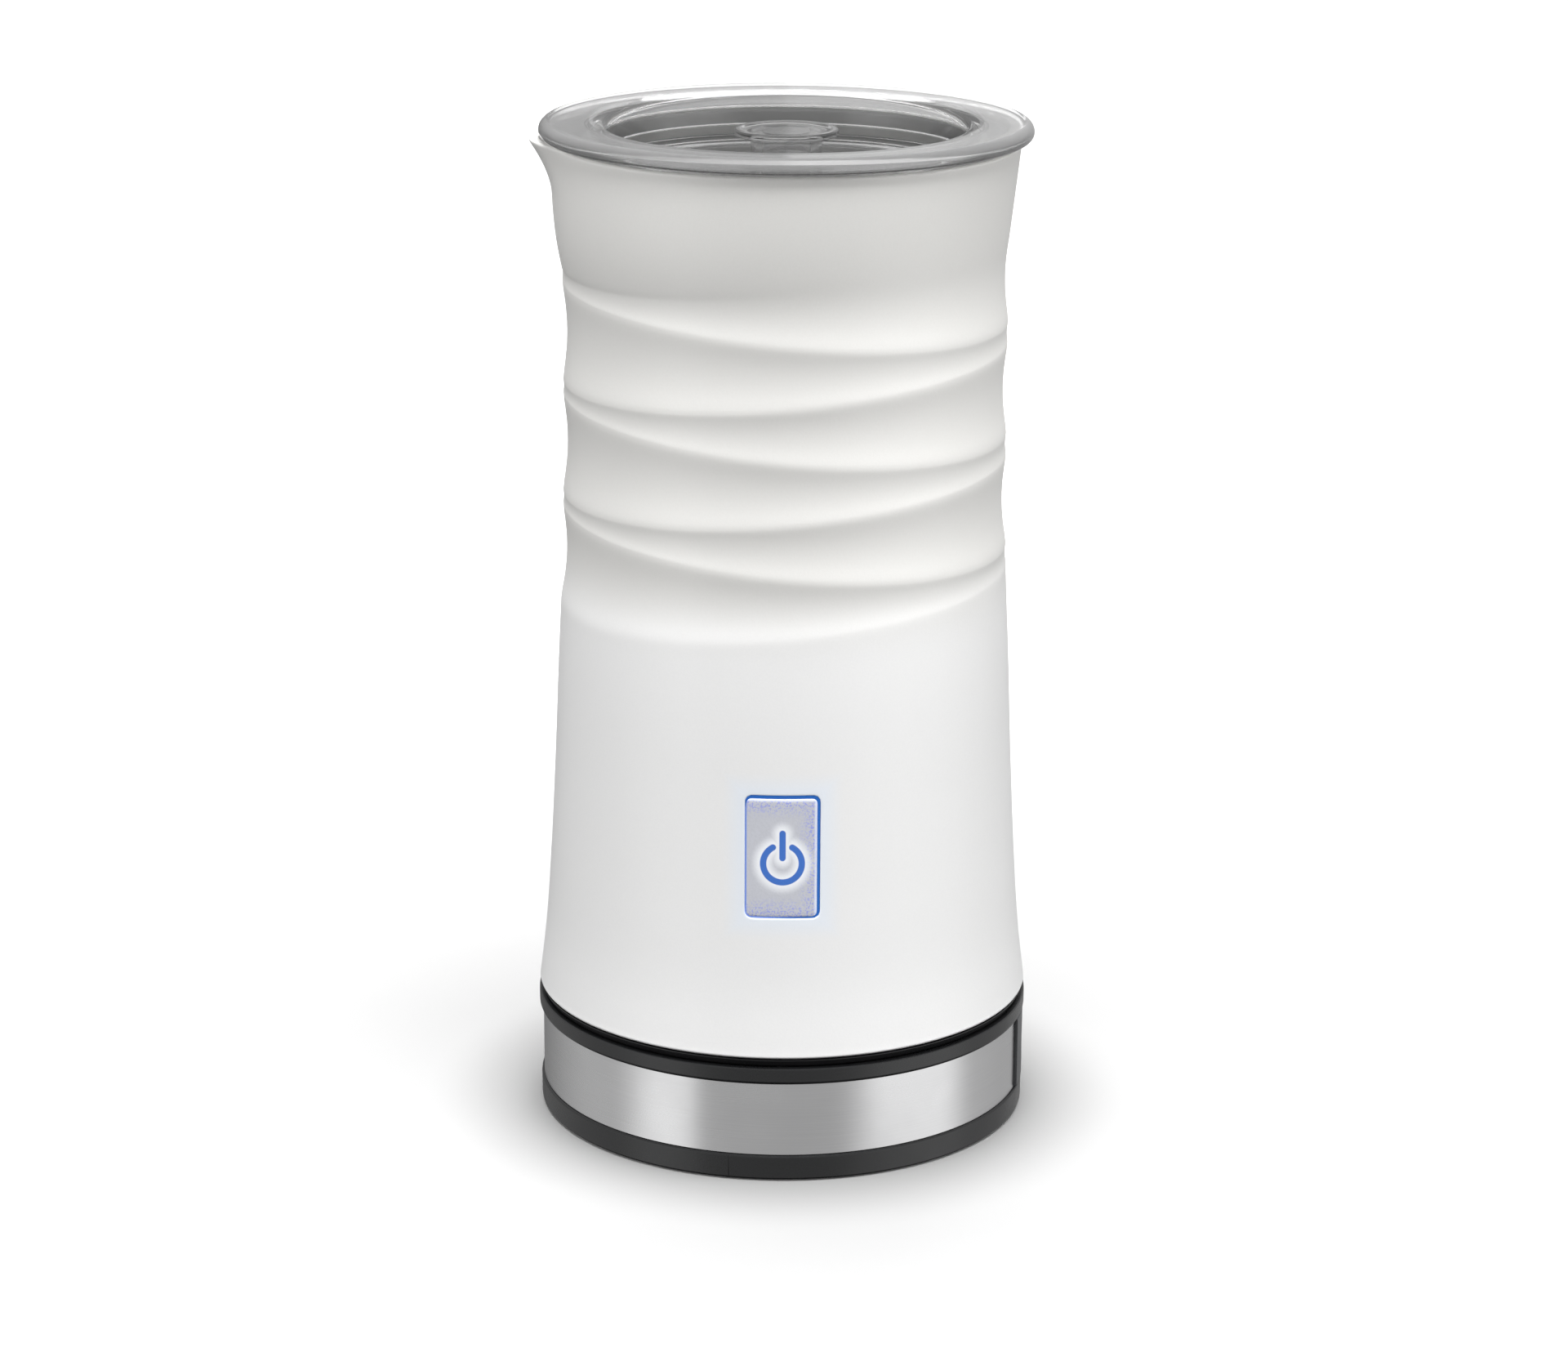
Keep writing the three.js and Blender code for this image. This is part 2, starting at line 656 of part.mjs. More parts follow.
function jugConnector() {
  const skirtLow = JUG_BOTTOM + 2 * GAP;
  return turned(
    [
      [WHISK_PIN_RADIUS, roofLow],
      [bladeInner - GAP, roofLow],
      [bladeInner - GAP, grooveTop],
      [bladeOuter + GAP, grooveTop],
      [bladeOuter + GAP, roofLow],
      [SOCKET_INNER, roofLow],
      [SOCKET_INNER, skirtLow],
      [SOCKET_OUTER, skirtLow],
      [SOCKET_OUTER, roofLow],
      [SOCKET_FLANGE, roofLow],
      [SOCKET_FLANGE, roofHigh],
      [WHISK_PIN_RADIUS, roofHigh],
    ],
    MEDIUM_SIDES,
  );
}

function jugSocket() {
  const socket = new THREE.Group();
  socket.add(
    mesh("jug_connector", jugConnector(), BLACK_PLASTIC),
    mesh("jug_center_pin", disc(WHISK_PIN_RADIUS - GAP, bladeLow, roofHigh + 2, SMALL_SIDES), BRASS),
    mesh(
      "jug_ring_contact",
      ring(bladeInner, bladeOuter, bladeLow, grooveTop - GAP, MEDIUM_SIDES),
      BRASS,
    ),
  );
  return socket;
}

// ---------------------------------------------------------------- jug body

const bottomScrewPositions = circlePositions(3, BOTTOM_SCREW_RING, 30);
const bottomScrewSeat = JUG_BOTTOM + JUG_SCREW.headHeight + 2 * GAP;

function outerShell() {
  const lowestCrest = TOP_CREST - CREST_PITCH * (CREST_COUNT - 1);
  const outer = [
    ...evenSteps(SHELL_BOTTOM, lowestCrest, 8),
    ...evenSteps(lowestCrest, TOP_CREST, (CREST_COUNT - 1) * ROWS_PER_FLUTE),
    ...evenSteps(TOP_CREST, SHELL_TOP - RIM_EDGE, 6),
    SHELL_TOP - RIM_EDGE,
  ].map((height) => [RIM_RADIUS, height]);
  const seatRadius = CUP_RIM_RADIUS + CUP_SEAT_CLEARANCE;
  const liner = JUG_OUTLINE.toReversed().map(([radius, height]) => [radius - SHELL_WALL, height]);
  const inner = [
    [RIM_RADIUS - RIM_EDGE, SHELL_TOP],
    [seatRadius, SHELL_TOP],
    [seatRadius, LEDGE_HEIGHT],
    [seatRadius - LEDGE_WIDTH, LEDGE_HEIGHT],
    [seatRadius - LEDGE_WIDTH, LEDGE_HEIGHT - LEDGE_DEPTH],
    [WAIST_RADIUS - SHELL_WALL, LINER_TOP],
    ...liner,
  ];
  const rows = outer.length + inner.length + 1;
  const wall = reshape(turnedGeometry([...outer, ...inner], LARGE_SIDES), (angle, radius, z, i) => {
    const row = i % rows;
    const onOutside = row < outer.length || row === rows - 1;
    return onOutside ? reliefPoint(angle, z) : [radius, z];
  });
  const bossTop = bottomScrewSeat + JUG_SCREW.length + 4;
  const bosses = holes(bottomScrewPositions, JUG_SCREW.shankRadius + 2, SHELL_BOTTOM, bossTop);
  const pilots = holes(
    bottomScrewPositions,
    JUG_SCREW.shankRadius + GAP,
    SHELL_BOTTOM - 1,
    bottomScrewSeat + JUG_SCREW.length + 1,
  );
  const window = facingFront(
    roundedRectangle(BUTTON_WIDTH, BUTTON_HEIGHT, BUTTON_CORNER),
    BOARD_FRONT,
    BASE_RADIUS,
    BUTTON_CENTER,
  );
  return cut(join(solid(withLip(wall)), ...bosses), window, ...pilots);
}

const cupRimLow = CUP_TOP - 1.5 * CUP_WALL;

function innerCup() {
  const inside = [
    [0, CUP_FLOOR],
    ...arc(CUP_FLOOR_RADIUS - CUP_CORNER, CUP_FLOOR + CUP_CORNER, CUP_CORNER, -90, 0),
    [CUP_NECK_RADIUS, CUP_NECK],
    [CUP_NECK_RADIUS + CUP_WALL / 2, LIP_START],
    [CUP_MOUTH_RADIUS, CUP_MOUTH],
    [CUP_MOUTH_RADIUS + CUP_WALL / 2, CUP_TOP - CUP_WALL],
  ];
  const rim = [
    [CUP_MOUTH_RADIUS + CUP_WALL, CUP_TOP],
    [CUP_RIM_RADIUS - CUP_WALL / 2, CUP_TOP],
    [CUP_RIM_RADIUS, CUP_TOP - CUP_WALL / 2],
    [CUP_RIM_RADIUS, cupRimLow],
  ];
  const outside = [
    [CUP_MOUTH_RADIUS + CUP_WALL, cupRimLow],
    [CUP_MOUTH_RADIUS + CUP_WALL, CUP_MOUTH],
    [CUP_NECK_RADIUS + 1.5 * CUP_WALL, LIP_START],
    [CUP_NECK_RADIUS + CUP_WALL, CUP_NECK],
    ...arc(
      CUP_FLOOR_RADIUS - CUP_CORNER,
      CUP_FLOOR + CUP_CORNER,
      CUP_CORNER + CUP_WALL,
      0,
      -90,
    ),
    [0, CUP_FLOOR - CUP_WALL],
  ];
  return solid(withLip(turnedGeometry([...inside, ...rim, ...outside], LARGE_SIDES)));
}

function rimSeal() {
  const [inner, outer] = [CUP_MOUTH_RADIUS + CUP_WALL + GAP, CUP_RIM_RADIUS];
  const [low, high] = [LEDGE_HEIGHT + GAP, cupRimLow - GAP];
  const outline = [[inner, low], [outer, low], [outer, high], [inner, high]];
  return solid(withLip(turnedGeometry(outline, LARGE_SIDES)));
}

function jugBottomCover() {
  const hubBore = SOCKET_OUTER + GAP;
  const top = SHELL_BOTTOM - GAP;
  const plate = turned([
    [hubBore, JUG_BOTTOM],
    [BASE_RADIUS - BOTTOM_COVER_SLANT, JUG_BOTTOM],
    [BASE_RADIUS + 0.2, top],
    [hubBore + BASE_WALL, top],
    [hubBore + BASE_WALL, roofLow - GAP],
    [hubBore, roofLow - GAP],
  ]);
  const low = JUG_BOTTOM - 1;
  return cut(
    plate,
    ...holes(bottomScrewPositions, JUG_SCREW.headRadius + GAP, low, bottomScrewSeat),
    ...holes(bottomScrewPositions, JUG_SCREW.shankRadius + GAP, low, SHELL_BOTTOM),
  );
}

function jugBody() {
  const jug = new THREE.Group();
  jug.add(
    mesh("outer_shell", outerShell(), WHITE_PLASTIC),
    mesh("inner_cup", innerCup(), BRUSHED_STEEL),
    mesh("rim_seal", rimSeal(), SILICONE),
    mesh("jug_bottom_cover", jugBottomCover(), BLACK_PLASTIC),
  );
  bottomScrewPositions.forEach(([x, y], i) => {
    const place = [x, y, bottomScrewSeat - GAP];
    jug.add(mesh(`jug_screw_${i + 1}`, screw(JUG_SCREW), BARE_STEEL, place));
  });
  return jug;
}

// ---------------------------------------------------------------- button, light guide and board

const keyWidth = BUTTON_WIDTH - 2 * (LIGHT_LIP + 2 * GAP);
const keyHeight = BUTTON_HEIGHT - 2 * (LIGHT_LIP + 2 * GAP);
const boardHeight = BOARD_HIGH - BOARD_LOW;
const boardCenter = (BOARD_HIGH + BOARD_LOW) / 2;
const boardScrewPlaces = [-BOARD_SCREW_X, BOARD_SCREW_X];
const boardHoleRadius = BOARD_SCREW.shankRadius + GAP;
const switchFront = GUIDE_FRONT - 0.4;

function frontPeg(radius, near, far, x, z) {
  const circle = new THREE.Shape().absarc(0, 0, radius, 0, 2 * Math.PI);
  return facingFront(circle, near, far, z).translate([x, 0, 0]);
}

function powerButton() {
  const shape = roundedRectangle(keyWidth, keyHeight, BUTTON_CORNER - LIGHT_LIP);
  const back = envelope(BUTTON_CENTER) - BUTTON_THICK;
  const key = facingFront(shape, back, BASE_RADIUS, BUTTON_CENTER).intersect(lowerCore(0));
  const pusherBack = switchFront + BUTTON_TRAVEL + GAP;
  return key.add(frontPeg(2, pusherBack, back + 0.5, 0, BUTTON_CENTER));
}

function lightGuide() {
  const outer = roundedRectangle(BUTTON_WIDTH - 2 * GAP, BUTTON_HEIGHT - 2 * GAP, BUTTON_CORNER);
  const inner = roundedRectangle(keyWidth + 2 * GAP, keyHeight + 2 * GAP, BUTTON_CORNER - LIGHT_LIP);
  const lip = facingFront(outer, GUIDE_FRONT - 0.5, BASE_RADIUS, BUTTON_CENTER);
  const middle = -(GUIDE_FRONT + GUIDE_BACK) / 2;
  const flange = box(GUIDE_WIDTH, GUIDE_FRONT - GUIDE_BACK, boardHeight, 0, middle, boardCenter);
  const posts = boardScrewPlaces.map((x) =>
    frontPeg(2.6, BOARD_FRONT + GAP, GUIDE_BACK + 0.5, x, BOARD_SCREW_Z),
  );
  const pilots = boardScrewPlaces.map((x) =>
    frontPeg(boardHoleRadius, BOARD_FRONT, GUIDE_FRONT - 0.2, x, BOARD_SCREW_Z),
  );
  const opening = facingFront(inner, BOARD_FRONT, BASE_RADIUS + 1, BUTTON_CENTER);
  return cut(join(lip.intersect(lowerCore(GAP)), flange, ...posts), opening, ...pilots);
}

function controlBoard() {
  const middle = BOARD_FRONT - BOARD_THICK / 2;
  const board = box(BOARD_WIDTH, BOARD_THICK, boardHeight, 0, -middle, boardCenter);
  const [near, far] = [BOARD_FRONT - BOARD_THICK - 1, BOARD_FRONT + 1];
  const screwHoles = boardScrewPlaces.map((x) =>
    frontPeg(boardHoleRadius, near, far, x, BOARD_SCREW_Z),
  );
  return cut(board, ...screwHoles);
}

function tactSwitch() {
  const body = roundedRectangle(SWITCH_WIDTH, SWITCH_WIDTH, 0.5);
  const back = BOARD_FRONT + GAP;
  const shoulder = switchFront - 0.4;
  return join(
    facingFront(body, back, shoulder, BUTTON_CENTER),
    frontPeg(1.7, shoulder - 0.3, switchFront, 0, BUTTON_CENTER),
  );
}

function indicatorLed() {
  const back = BOARD_FRONT + GAP;
  const dome = frontPeg(0.9, back + 0.5, back + 1.2, 0, 0);
  return join(facingFront(roundedRectangle(3, 2, 0.3), back, back + 0.8, 0), dome);
}

function buttonGroup() {
  const group = new THREE.Group();
  group.add(
    mesh("power_button", powerButton(), KEY_PLASTIC),
    mesh("light_guide", lightGuide(), LIT_PLASTIC),
    mesh("control_board", controlBoard(), BOARD_GREEN),
    mesh("tact_switch", tactSwitch(), BLACK_PLASTIC),
  );
  [-LED_OFFSET, LED_OFFSET].forEach((offset, i) => {
    const place = [0, 0, BUTTON_CENTER + offset];
    group.add(mesh(`indicator_led_${i + 1}`, indicatorLed(), LIT_PLASTIC, place));
  });
  boardScrewPlaces.forEach((x, i) => {
    const place = [x, -(BOARD_FRONT - BOARD_THICK - GAP), BOARD_SCREW_Z];
    const turn = [Math.PI / 2, 0, 0];
    group.add(mesh(`board_screw_${i + 1}`, screw(BOARD_SCREW), BARE_STEEL, place, turn));
  });
  return group;
}

// ---------------------------------------------------------------- heater

const plateHigh = CUP_FLOOR - CUP_WALL - GAP;
const plateLow = plateHigh - HEATER_PLATE_THICK;

class ElementPath extends THREE.Curve {
  getPoint(share, target = new THREE.Vector3()) {
    const angle = THREE.MathUtils.degToRad(30 + 300 * share);
    const [x, y] = [ELEMENT_RING * Math.cos(angle), ELEMENT_RING * Math.sin(angle)];
    return target.set(x, y, plateLow - GAP - ELEMENT_RADIUS);
  }
}

function heaterElement() {
  const section = new THREE.Shape().absarc(0, 0, ELEMENT_RADIUS, 0, 2 * Math.PI);
  const options = { extrudePath: new ElementPath(), steps: 24, curveSegments: 4 };
  return solid(new THREE.ExtrudeGeometry(section, options));
}

function thermostat() {
  const top = plateLow - GAP;
  const [cap, body] = [3.2, 4.2];
  const [capHeight, bodyHeight] = [1.5, 4];
  const shoulder = top - bodyHeight;
  return turned(
    [
      [0, shoulder - capHeight],
      [cap, shoulder - capHeight],
      [cap, shoulder],
      [body, shoulder],
      [body, top],
      [0, top],
    ],
    MEDIUM_SIDES / 2,
  ).translate([0, SENSOR_RING, 0]);
}

function thermalFuse() {
  const radius = 1.8;
  const capsule = new THREE.CapsuleGeometry(radius, 8, 3, 10).rotateZ(Math.PI / 2);
  return solid(capsule.translate(0, -SENSOR_RING, plateLow - GAP - radius));
}

function heaterGroup() {
  const heater = new THREE.Group();
  heater.add(
    mesh(
      "heater_plate",
      ring(HEATER_PLATE_INNER, HEATER_PLATE_OUTER, plateLow, plateHigh),
      ALUMINIUM,
    ),
    mesh("heater_element", heaterElement(), BARE_STEEL),
    mesh("thermostat", thermostat(), GREY_PLASTIC),
    mesh("thermal_fuse", thermalFuse(), BARE_STEEL),
  );
  return heater;
}

// ---------------------------------------------------------------- stirring drive

const damperLow = MOTOR_TOP + GAP;
const damperHigh = damperLow + 1.2;
const bracketLow = damperHigh + GAP;
const bracketHigh = bracketLow + BRACKET_THICK;
const motorScrewPlaces = [[-MOTOR_SCREW_X, 0], [MOTOR_SCREW_X, 0]];
const motorHoleRadius = MOTOR_SCREW.shankRadius + GAP;

function motorCan() {
  const edge = 1;
  const can = turned(
    [
      [0, MOTOR_BOTTOM],
      [MOTOR_RADIUS, MOTOR_BOTTOM],
      [MOTOR_RADIUS, MOTOR_TOP - edge],
      [MOTOR_RADIUS - edge, MOTOR_TOP],
      [0, MOTOR_TOP],
    ],
    MEDIUM_SIDES,
  );
  return cut(
    can,
    disc(SHAFT_RADIUS + GAP, MOTOR_BOTTOM + 3, MOTOR_TOP + 1, SMALL_SIDES),
    ...holes(motorScrewPlaces, motorHoleRadius, MOTOR_TOP - MOTOR_SCREW.length, MOTOR_TOP + 1),
  );
}

function motorEndCap() {
  const top = MOTOR_BOTTOM - GAP;
  const shoulder = top - 1.6;
  const bearingLow = shoulder - 0.8;
  const bearingRadius = MOTOR_RADIUS / 3;
  return turned(
    [
      [0, bearingLow],
      [bearingRadius, bearingLow],
      [bearingRadius, shoulder],
      [MOTOR_RADIUS - 1, shoulder],
      [MOTOR_RADIUS - 1, top],
      [0, top],
    ],
    MEDIUM_SIDES,
  );
}

function motorBracket() {
  const plate = disc(BRACKET_RADIUS, bracketLow, bracketHigh);
  const legRadius = 2.4;
  const legPositions = circlePositions(3, BRACKET_RADIUS - 1.2 * legRadius);
  const legs = holes(legPositions, legRadius, bracketLow, plateLow - GAP);
  const [low, high] = [bracketLow - 1, bracketHigh + 1];
  return cut(
    join(plate, ...legs),
    disc(MOTOR_RADIUS / 3, low, high, SMALL_SIDES),
    ...holes(motorScrewPlaces, motorHoleRadius, low, high),
  );
}

const holderLow = MAGNET_HOLDER_TOP - MAGNET_HOLDER_THICK;
const magnetPositions = circlePositions(2, MAGNET_RING);

function magnetHolder() {
  const neckRadius = MAGNET_HOLDER_RADIUS / 3.5;
  const neckLow = holderLow - 4.5;
  const pocketLow = MAGNET_HOLDER_TOP - ROTOR_MAGNET.height - GAP;
  const pocketRadius = ROTOR_MAGNET.radius + GAP;
  const holder = turned(
    [
      [0, neckLow],
      [neckRadius, neckLow],
      [neckRadius, holderLow],
      [MAGNET_HOLDER_RADIUS, holderLow],
      [MAGNET_HOLDER_RADIUS, MAGNET_HOLDER_TOP],
      [0, MAGNET_HOLDER_TOP],
    ],
    MEDIUM_SIDES,
  );
  return cut(
    holder,
    disc(SHAFT_RADIUS + GAP, neckLow - 1, holderLow + 0.8, SMALL_SIDES),
    ...holes(magnetPositions, pocketRadius, pocketLow, MAGNET_HOLDER_TOP + 1, MEDIUM_SIDES),
  );
}

function driveGroup() {
  const drive = new THREE.Group();
  const damperInner = MOTOR_RADIUS - 2.1;
  drive.add(
    mesh("motor_can", motorCan(), BARE_STEEL),
    mesh("motor_end_cap", motorEndCap(), GREY_PLASTIC),
    mesh(
      "motor_damper",
      ring(damperInner, MOTOR_RADIUS, damperLow, damperHigh, MEDIUM_SIDES),
      RUBBER,
    ),
    mesh("motor_bracket", motorBracket(), BARE_STEEL),
    mesh(
      "motor_shaft",
      disc(SHAFT_RADIUS, MOTOR_BOTTOM + 4, holderLow + 0.5, SMALL_SIDES),
      BARE_STEEL,
    ),
    mesh("magnet_holder", magnetHolder(), GREY_PLASTIC),
  );
  motorScrewPlaces.forEach(([x, y], i) => {
    const place = [x, y, bracketHigh + GAP];
    drive.add(mesh(`motor_screw_${i + 1}`, screw(MOTOR_SCREW), BARE_STEEL, place, [Math.PI, 0, 0]));
  });
  magnetPositions.forEach(([x, y], i) => {
    const place = [x, y, MAGNET_HOLDER_TOP - ROTOR_MAGNET.height];
    const magnet = disc(ROTOR_MAGNET.radius, 0, ROTOR_MAGNET.height);
    drive.add(mesh(`rotor_magnet_${i + 1}`, magnet, MAGNET_PLATE, place));
  });
  return drive;
}

// ---------------------------------------------------------------- whisk

const bushInner = WHISK_PIN_RADIUS + GAP;
const bushOuter = bushInner + 1.1;
const bushTop = WHISK_TOP - 2.5;

// A wire wound into a coil whose own middle runs round the whisk, open at one place.
class CoilPath extends THREE.Curve {
  getPoint(share, target = new THREE.Vector3()) {
    const around = THREE.MathUtils.degToRad(6 + 348 * share);
    const winding = 2 * Math.PI * COIL_TURNS * share;
    const radius = COIL_RING + COIL_RADIUS * Math.cos(winding);
    const height = WHISK_DISC_TOP + GAP + COIL_WIRE + COIL_RADIUS * (1 + Math.sin(winding));
    return target.set(radius * Math.cos(around), radius * Math.sin(around), height);
  }
}

function whiskHub() {
  const edge = 1;
  const hub = turned(
    [
      [0, WHISK_BOTTOM],
      [WHISK_DISC_RADIUS - edge, WHISK_BOTTOM],
      [WHISK_DISC_RADIUS, WHISK_BOTTOM + edge],
      [WHISK_DISC_RADIUS, WHISK_DISC_TOP - edge],
      [WHISK_DISC_RADIUS - edge, WHISK_DISC_TOP],
      [WHISK_NECK_RADIUS + 1.5 * edge, WHISK_DISC_TOP],
      [WHISK_NECK_RADIUS, WHISK_DISC_TOP + 2 * edge],
      [WHISK_NECK_RADIUS, WHISK_TOP - 2 * edge],
      [WHISK_NECK_RADIUS - 2 * edge, WHISK_TOP],
      [0, WHISK_TOP],
    ],
    MEDIUM_SIDES,
  );
  const [armInner, armOuter] = [WHISK_DISC_RADIUS - 3, COIL_RING + 2];
  const [armWidth, armHeight] = [2.4, 2.6];
  const armCenter = WHISK_DISC_TOP - armHeight / 2 - 0.4;
  const middle = (armOuter + armInner) / 2;
  const arm = box(armOuter - armInner, armWidth, armHeight, middle, 0, armCenter);
  const arms = [45, 135, 225, 315].map((turn) => arm.rotate([0, 0, turn]));
  const pocketRadius = WHISK_MAGNET.radius + 2 * GAP;
  const pocketTop = WHISK_BOTTOM + WHISK_MAGNET.height + 2 * GAP;
  return cut(
    join(hub, ...arms),
    disc(bushOuter + GAP, WHISK_BOTTOM - 1, bushTop + GAP, SMALL_SIDES * 2),
    ...holes(magnetPositions, pocketRadius, WHISK_BOTTOM - 1, pocketTop),
  );
}

function whiskCoil() {
  const section = new THREE.Shape().absarc(0, 0, COIL_WIRE, 0, 2 * Math.PI);
  const options = { extrudePath: new CoilPath(), steps: COIL_TURNS * 7, curveSegments: 3 };
  return solid(new THREE.ExtrudeGeometry(section, options));
}

function whiskGroup() {
  const whisk = new THREE.Group();
  const pinTop = bushTop - 1.5;
  whisk.add(
    mesh("whisk_pin", disc(WHISK_PIN_RADIUS, CUP_FLOOR + GAP, pinTop, SMALL_SIDES), BARE_STEEL),
    mesh(
      "whisk_bush",
      ring(bushInner, bushOuter, WHISK_BOTTOM + 0.2, bushTop, SMALL_SIDES * 2),
      BARE_STEEL,
    ),
    mesh("whisk_hub", whiskHub(), BLACK_PLASTIC),
    mesh("whisk_coil", whiskCoil(), BARE_STEEL),
  );
  magnetPositions.forEach(([x, y], i) => {
    const place = [x, y, WHISK_BOTTOM + GAP];
    const magnet = disc(WHISK_MAGNET.radius, 0, WHISK_MAGNET.height, SMALL_SIDES);
    whisk.add(mesh(`whisk_magnet_${i + 1}`, magnet, MAGNET_PLATE, place));
  });
  return whisk;
}

// ---------------------------------------------------------------- lid

function lidCover() {
  const floorLow = LID_FLOOR - LID_FLOOR_THICK;
  const [grooveLow, grooveHigh] = [LID_FLOOR, LID_FLOOR + SEAL_GROOVE_HEIGHT];
  const grooveInner = LID_PLUG_RADIUS - SEAL_GROOVE_DEPTH;
  const bossTop = LID_FLOOR + KNOB_BOSS_HEIGHT;
  const dishCorner = 2;
  const edge = (LID_TOP - LID_FLANGE_BOTTOM) / 2;
  return turned([
    [0, floorLow],
    [LID_PLUG_RADIUS - 2, floorLow],
    [LID_PLUG_RADIUS, floorLow + 2],
    [LID_PLUG_RADIUS, grooveLow],
    [grooveInner, grooveLow],
    [grooveInner, grooveHigh],
    [LID_PLUG_RADIUS, grooveHigh],
    [LID_PLUG_RADIUS + 0.4, LID_FLANGE_BOTTOM],
    ...arc(LID_RADIUS - edge, LID_FLANGE_BOTTOM + edge, edge, -90, 90, 6),
    [DISH_SHOULDER_RADIUS, LID_TOP - 0.4],
    [DISH_MOUTH_RADIUS, LID_TOP - 1.1],
    ...arc(DISH_FLOOR_RADIUS - dishCorner, LID_FLOOR + dishCorner, dishCorner, 0, -90, 3),
    [KNOB_HOLLOW - GAP, LID_FLOOR],
    [KNOB_HOLLOW - GAP, bossTop],
    [0, bossTop],
  ]);
}

function lidKnob() {
  const low = LID_FLOOR + GAP;
  const discLow = KNOB_TOP - KNOB_DISC_THICK;
  const edge = KNOB_DISC_THICK / 2;
  return turned(
    [
      [KNOB_HOLLOW, low],
      [KNOB_STEM, low],
      [KNOB_STEM, discLow - edge],
      [KNOB_STEM + edge, discLow],
      ...arc(KNOB_RADIUS - edge, KNOB_TOP - edge, edge, -90, 90),
      [0, KNOB_TOP],
      [0, discLow],
      [KNOB_HOLLOW, discLow],
    ],
    MEDIUM_SIDES,
  );
}

function lidGroup() {
  const lid = new THREE.Group();
  const sealInner = LID_PLUG_RADIUS - SEAL_GROOVE_DEPTH + GAP;
  const [sealLow, sealHigh] = [LID_FLOOR + GAP, LID_FLOOR + SEAL_GROOVE_HEIGHT - GAP];
  lid.add(
    mesh("lid_cover", lidCover(), CLEAR_PLASTIC),
    mesh("lid_knob", lidKnob(), CLEAR_PLASTIC),
    mesh("lid_seal", ring(sealInner, SEAL_OUTER, sealLow, sealHigh), SILICONE),
  );
  return lid;
}

// ---------------------------------------------------------------- the whole frother

const group = new THREE.Group();
group.add(
  powerBase(),
  jugSocket(),
  jugBody(),
  buttonGroup(),
  heaterGroup(),
  driveGroup(),
  whiskGroup(),
  lidGroup(),
);

export default group;
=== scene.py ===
"""Electric milk frother: fine surfaces, materials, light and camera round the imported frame.

Outlines and sizes are in millimetres, in the frame's own axes; meshes are scaled to metres as they are made.
The button faces -Y, the pouring lip points to -X and the cord outlet faces +X.
"""

import itertools
import json
import math

import bmesh
import bpy
import numpy as np
from mathutils import Matrix, Vector


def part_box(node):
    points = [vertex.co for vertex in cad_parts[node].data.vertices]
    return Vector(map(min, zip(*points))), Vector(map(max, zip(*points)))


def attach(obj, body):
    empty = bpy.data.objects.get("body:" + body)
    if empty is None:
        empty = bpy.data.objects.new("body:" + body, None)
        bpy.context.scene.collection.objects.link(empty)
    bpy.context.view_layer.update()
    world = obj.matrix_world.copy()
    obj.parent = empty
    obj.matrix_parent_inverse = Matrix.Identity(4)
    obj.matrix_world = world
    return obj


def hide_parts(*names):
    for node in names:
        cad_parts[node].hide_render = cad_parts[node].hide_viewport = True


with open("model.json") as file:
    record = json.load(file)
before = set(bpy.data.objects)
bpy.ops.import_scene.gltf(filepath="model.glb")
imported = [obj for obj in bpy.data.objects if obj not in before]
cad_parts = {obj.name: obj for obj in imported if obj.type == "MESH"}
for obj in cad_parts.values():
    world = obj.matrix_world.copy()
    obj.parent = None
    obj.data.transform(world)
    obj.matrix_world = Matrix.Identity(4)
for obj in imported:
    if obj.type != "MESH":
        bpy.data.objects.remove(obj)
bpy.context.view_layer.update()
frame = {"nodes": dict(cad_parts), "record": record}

MM = 0.001
TURN = 2 * math.pi
FINE_SIDES = 192
MEDIUM_SIDES = 128
LESSER_SIDES = 96
SMALL_SIDES = 64
SHARP_ANGLE = math.radians(38)


# ---- sizes from the frame


def low_of(node, axis=2):
    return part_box(node)[0][axis] / MM


def high_of(node, axis=2):
    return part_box(node)[1][axis] / MM


def radius_of(node):
    """Half a round node's width along Y, where nothing sticks out of it."""
    return (high_of(node, 1) - low_of(node, 1)) / 2


def span(node, axis=2):
    return low_of(node, axis), high_of(node, axis)


def middle_of(node, axis=2):
    return (low_of(node, axis) + high_of(node, axis)) / 2


GAP = 0.3  # what the frame leaves between pieces that touch
SHELL_LOW = low_of("outer_shell")
SHELL_TOP = high_of("outer_shell")
SHELL_LOW_RADIUS = radius_of("outer_shell")
WAIST_RADIUS = 44.6
RIM_RADIUS = 46.6
WALL = 2.2

CREST_COUNT = 7
CREST_PITCH = 11.4
TOP_CREST = SHELL_TOP - 21.4
LOWEST_CREST = TOP_CREST - CREST_PITCH * (CREST_COUNT - 1)
CREST_SWING = 4.1
ODD_CREST_RISE = 0.8
CREST_LEAN = math.radians(15)
FLUTE_DEPTH_PER_WIDTH = 0.053
CREST_ROUNDING = 0.25

LIP_START = SHELL_TOP - 10.2
LIP_REACH = 4.7
LIP_ANGLE = -math.pi / 2
LIP_HALF_WIDTH = math.radians(13)
LIP_CURVE = 1.6

